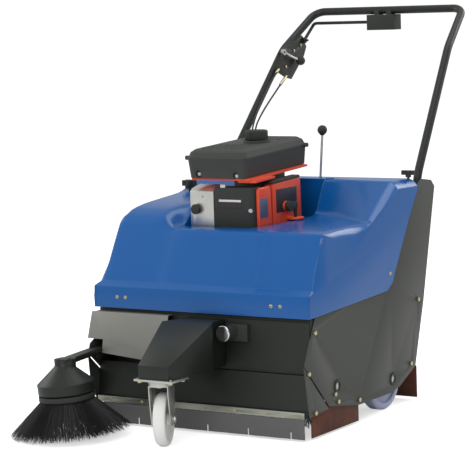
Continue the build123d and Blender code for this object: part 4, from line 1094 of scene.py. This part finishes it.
def bars(name, boxes, look, body, edge=0.0008, slope=0.0, slot=None):
    """Rounded bars, each given by two corners in the building datum, rising to the rear."""
    points, faces = [], []
    for (x0, y0, z0), (x1, y1, z1) in boxes:
        base = len(points)
        points += [(x, y, z + slope * (y - y0)) for x in (x0, x1) for y in (y0, y1)
                   for z in (z0, z1)]
        faces += [tuple(base + i for i in face) for face in (
            (0, 1, 3, 2), (4, 6, 7, 5), (0, 4, 5, 1), (2, 3, 7, 6), (0, 2, 6, 4), (1, 5, 7, 3))]
    piece = mesh_object(name, mesh_from(points, faces, name), look)
    roll = piece.modifiers.new("Edges", "BEVEL")
    roll.width = edge
    roll.segments = 2
    roll.limit_method = "ANGLE"
    settle(piece)
    return own(piece, body, slot=slot or look)


TANK_SLOPE = math.tan(math.radians(2.7))


def tank_top(y):
    """Height of the fuel tank's lid at y, in the building datum."""
    return 846.5 + TANK_SLOPE * (y - 192)


class SWEEPER_OT_engine(bpy.types.Operator):
    """Engine with its covers, tank and fittings"""
    bl_idname = "sweeper.engine"
    bl_label = "Engine"

    def execute(self, context):
        sizes = context.scene.sweeper_sizes
        dress("engine_block", 0.002, 3, slot="black_paint")
        for node, edge in (("air_cleaner_box", 0.003),
                           ("engine_front_cover", 0.004), ("engine_side_shroud", 0.003),
                           ("blower_housing", 0.004), ("tank_bracket", 0.0012),
                           ("fuel_tank", 0.003), ("muffler", 0.002), ("starter_grip", 0.003),
                           ("air_cleaner_knob", 0.002)):
            dress(node, edge, 3)
        cap = fluted("fuel_cap_fluted", *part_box("fuel_cap"), sizes.flutes, "black_plastic")
        own(cap, "cap", "fuel_cap", slot="black_plastic")
        ribs = [((x, y, tank_top(y) - 2), (x + 7, y + depth, tank_top(y) + 1.2))
                for y, depth in ((226, 108), (462, 84)) for x in range(-116, 40, 26)]
        bars("tank_ribs", ribs, "tank_plastic", "chassis", 0.001, TANK_SLOPE)
        bars("housing_trim", [((60.5, 306, 732), (91, 474, 741))], "black_plastic", "chassis",
             0.002, 0.045)
        bars("slider_plate", [((-45, 200.8, 667), (39, 202.4, 684))], "decal_dark", "chassis",
             0.0004, slot="black_plastic")
        bars("slider_mark", [((-43, 200.6, 685), (38, 202.4, 692))], "mark_white", "chassis",
             0.0003, slot="aluminium")
        bars("cover_latch", [((-38, 203, 729), (-20, 214, 739))], "aluminium", "chassis", 0.001)
        bars("side_decal", [((89, 228, 633), (90.6, 274, 694))], "decal_blue", "chassis", 0.0002,
             slot="black_plastic")
        bars("housing_decal", [((89, 326, 640), (90.7, 452, 714))], "decal_dark", "chassis",
             0.0002, slot="black_plastic")
        return {"FINISHED"}


# ---- knobs, levers and handle ------------------------------------------------------------------------

def ball_lever(node, body, tip, along, rod):
    """A lever's bright rod, taken from its node, with a moulded ball on its end."""
    work = bmesh.new()
    work.from_mesh(frame["nodes"][node].data)
    bmesh.ops.remove_doubles(work, verts=work.verts, dist=0.000004)
    axis, radius = Vector(along).normalized(), 0.016
    shell = []
    for vert in work.verts:
        arm = vert.co - tip
        if arm.length < radius + 0.0003 and (arm - axis * arm.dot(axis)).length > rod + 0.0002:
            shell.append(vert)
    bmesh.ops.delete(work, geom=shell, context="VERTS")
    mesh = bpy.data.meshes.new(node + "_rod")
    work.to_mesh(mesh)
    work.free()
    own(mesh_object(node + "_rod", mesh, "zinc"), body, node, slot="zinc")
    profile = [(0.0, -1.04), (0.42, -1.04), (0.46, -1.0), (0.47, -0.92)]
    profile += [(math.cos(math.radians(a)), math.sin(math.radians(a)))
                for a in range(-56, 90, 12)] + [(0.0, 1.0)]
    ball = turned(node + "_ball", [(radius * r, radius * h) for r, h in profile], tip, along, 32,
                  "black_plastic", 40)
    own(ball, body, slot="black_plastic")


class SWEEPER_OT_knobs(bpy.types.Operator):
    """Knobs, levers and the front turn knob"""
    bl_idname = "sweeper.knobs"
    bl_label = "Knobs"

    def execute(self, context):
        for node, edge in (("star_knob", 0.002), ("clamp_knob_left", 0.002),
                           ("clamp_knob_right", 0.002), ("front_knob", 0.002),
                           ("knob_block", 0.001)):
            dress(node, edge, 3)
        ball_lever("lift_lever", "lift", place(77, 650, 878), (22, -15, 168), 0.004)
        ball_lever("throttle_lever", "throttle", place(-280.5, 1132, 1086), (11, 52, -20), 0.0035)
        return {"FINISHED"}


class SWEEPER_OT_handle(bpy.types.Operator):
    """Push handle with its control box, plate and bail"""
    bl_idname = "sweeper.handle"
    bl_label = "Handle"

    def execute(self, context):
        dress("handle_tube", 0)
        dress("drive_bail", 0)
        dress("control_box", 0.003, 3)
        dress("control_bracket", 0.001)
        dress("control_hardware", 0.0006)
        return {"FINISHED"}


CABLES = {
    "throttle_cable": (567, [
        (-294, 986, 1050), (-290, 940, 1020), (-281, 880, 980), (-267, 815, 935), (-250, 755, 893),
        (-228, 702, 854), (-198, 660, 816), (-168, 632, 778), (-144, 608, 748), (-128, 588, 729),
        (-122, 572, 724)]),
    "drive_cable": (559, [
        (-288, 1000, 1008), (-284, 946, 976), (-276, 886, 944), (-264, 824, 912), (-249, 768, 882),
        (-228, 724, 852), (-201, 687, 819), (-170, 655, 784), (-141, 624, 750), (-117, 594, 730),
        (-108, 572, 724)]),
}


class SWEEPER_OT_cables(bpy.types.Operator):
    """Control cables from the handle to the engine"""
    bl_idname = "sweeper.cables"
    bl_label = "Cables"

    def execute(self, context):
        sizes = context.scene.sweeper_sizes
        for node, (length, route) in CABLES.items():
            curve = bpy.data.curves.new(node + "_line", "CURVE")
            curve.dimensions = "3D"
            spline = curve.splines.new("NURBS")
            spline.points.add(len(route) - 1)
            for point, spot in zip(spline.points, route):
                point.co = (*place(*spot), 1)
            spline.order_u = 3
            spline.use_endpoint_u = True
            spline.resolution_u = 8
            line = bpy.data.objects.new(node + "_line", curve)
            context.scene.collection.objects.link(line)
            path = [tuple(v.co) for v in applied(line).vertices]
            curve.bevel_depth = sizes.cable / 2
            curve.bevel_resolution = 3
            curve.use_fill_caps = True
            mesh = applied(line)
            bpy.data.objects.remove(line)
            mesh.materials.clear()
            cable = mesh_object(node + "_sleeve", mesh, "black_plastic")
            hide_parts(node)
            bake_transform(cable)
        return {"FINISHED"}


# ---- stage -------------------------------------------------------------------------------------------

AZIMUTH, ELEVATION, ROLL = math.radians(32.35), math.radians(6.26), -0.0325
DISTANCE, FOCUS = 6733.0, (-94.6, 380.25, 585.98)
FOCAL_SHARE = 2100 / 473
# white background as the camera sees it, weaker where it lights the machine
WORLD_LIGHT, WORLD_SEEN, FLOOR_SEEN = 0.56, 1.02, 0.6
FLOOR_HALF = 14.0


class SWEEPER_OT_stage(bpy.types.Operator):
    """Floor, soft studio light and camera"""
    bl_idname = "sweeper.stage"
    bl_label = "Stage"

    def execute(self, context):
        scene = context.scene
        plane = bpy.data.meshes.new("floor")
        plane.from_pydata([(x * FLOOR_HALF, y * FLOOR_HALF, 0)
                           for x, y in ((-1, -1), (1, -1), (1, 1), (-1, 1))], [], [(0, 1, 2, 3)])
        floor = bpy.data.objects.new("floor", plane)
        scene.collection.objects.link(floor)
        pale = bpy.data.materials.new("floor_paint")
        pale.use_nodes = True
        shader = pale.node_tree.nodes["Principled BSDF"]
        shader.inputs["Base Color"].default_value = (0.92, 0.92, 0.92, 1)
        shader.inputs["Roughness"].default_value = 0.9
        shader.inputs["Specular IOR Level"].default_value = 0.0
        shader.inputs["Emission Color"].default_value = (1, 1, 1, 1)
        look = calc(pale.node_tree, "MULTIPLY", pale.node_tree.nodes.new(
            "ShaderNodeLightPath").outputs["Is Camera Ray"], FLOOR_SEEN)
        pale.node_tree.links.new(look, shader.inputs["Emission Strength"])
        plane.materials.append(pale)
        world = bpy.data.worlds.new("studio")
        world.use_nodes = True
        world.node_tree.nodes["Background"].inputs[0].default_value = (1, 1, 1, 1)
        seen = world.node_tree.nodes.new("ShaderNodeLightPath").outputs["Is Camera Ray"]
        glow = add(world.node_tree, "ShaderNodeMapRange",
                   {0: seen, 3: WORLD_LIGHT, 4: WORLD_SEEN}).outputs[0]
        world.node_tree.links.new(glow, world.node_tree.nodes["Background"].inputs[1])
        scene.world = world
        scene.view_settings.view_transform = "Standard"
        target = place(0, 300, 500)
        for name, spot, side, power in (("key", (1.4, -4.2, 3.4), 3.2, 90),
                                        ("fill", (-4.2, -0.6, 2.6), 3.2, 60),
                                        ("top", (0.2, 0.8, 3.8), 2.4, 30),
                                        ("rim", (1.6, 3.4, 2.6), 2.0, 40)):
            light = bpy.data.lights.new(name, "AREA")
            light.shape = "DISK"
            light.size = side
            light.energy = power
            lamp = bpy.data.objects.new(name, light)
            lamp.location = Vector(spot) + Vector((target.x, target.y, 0))
            lamp.rotation_euler = (target - lamp.location).to_track_quat("-Z", "Y").to_euler()
            scene.collection.objects.link(lamp)
        back = Vector((math.sin(AZIMUTH) * math.cos(ELEVATION),
                       -math.cos(AZIMUTH) * math.cos(ELEVATION), math.sin(ELEVATION)))
        right = Vector((math.cos(AZIMUTH), math.sin(AZIMUTH), 0))
        up = back.cross(right)
        turned_right = right * math.cos(ROLL) + up * math.sin(ROLL)
        turned_up = up * math.cos(ROLL) - right * math.sin(ROLL)
        lens = bpy.data.cameras.new("camera")
        lens.sensor_width = 36.0
        lens.lens = 36.0 * FOCAL_SHARE
        lens.clip_end = 100.0
        camera = bpy.data.objects.new("camera", lens)
        spot = place(*FOCUS) + back * DISTANCE / 1000
        axes = Matrix((turned_right, turned_up, back)).transposed().to_4x4()
        camera.matrix_world = Matrix.Translation(spot) @ axes
        scene.collection.objects.link(camera)
        scene.camera = camera
        return {"FINISHED"}


STEPS = [SWEEPER_OT_stage, SWEEPER_OT_cables, SWEEPER_OT_hood, SWEEPER_OT_fasteners,
         SWEEPER_OT_sheets, SWEEPER_OT_rubber, SWEEPER_OT_running_gear, SWEEPER_OT_brooms,
         SWEEPER_OT_engine, SWEEPER_OT_knobs, SWEEPER_OT_handle]


class SWEEPER_PT_panel(bpy.types.Panel):
    """The sweeper's pieces"""
    bl_idname = "SWEEPER_PT_panel"
    bl_label = "Sweeper"
    bl_space_type = "VIEW_3D"
    bl_region_type = "UI"
    bl_category = "Sweeper"

    def draw(self, context):
        for step in STEPS:
            self.layout.operator(step.bl_idname)
        for group in (context.scene.sweeper_sizes, context.scene.sweeper_colours):
            box = self.layout.box()
            for name in group.__annotations__:
                box.prop(group, name)


CLASSES = [SWEEPER_PG_sizes, SWEEPER_PG_colours, *STEPS, SWEEPER_PT_panel]


def register():
    for each in CLASSES:
        bpy.utils.register_class(each)
    bpy.types.Scene.sweeper_sizes = PointerProperty(type=SWEEPER_PG_sizes)
    bpy.types.Scene.sweeper_colours = PointerProperty(type=SWEEPER_PG_colours)


def unregister():
    del bpy.types.Scene.sweeper_colours
    del bpy.types.Scene.sweeper_sizes
    for each in reversed(CLASSES):
        bpy.utils.unregister_class(each)


def main():
    register()
    for step in STEPS:
        module, name = step.bl_idname.split(".")
        getattr(getattr(bpy.ops, module), name)()


if __name__ == "__main__":
    main()
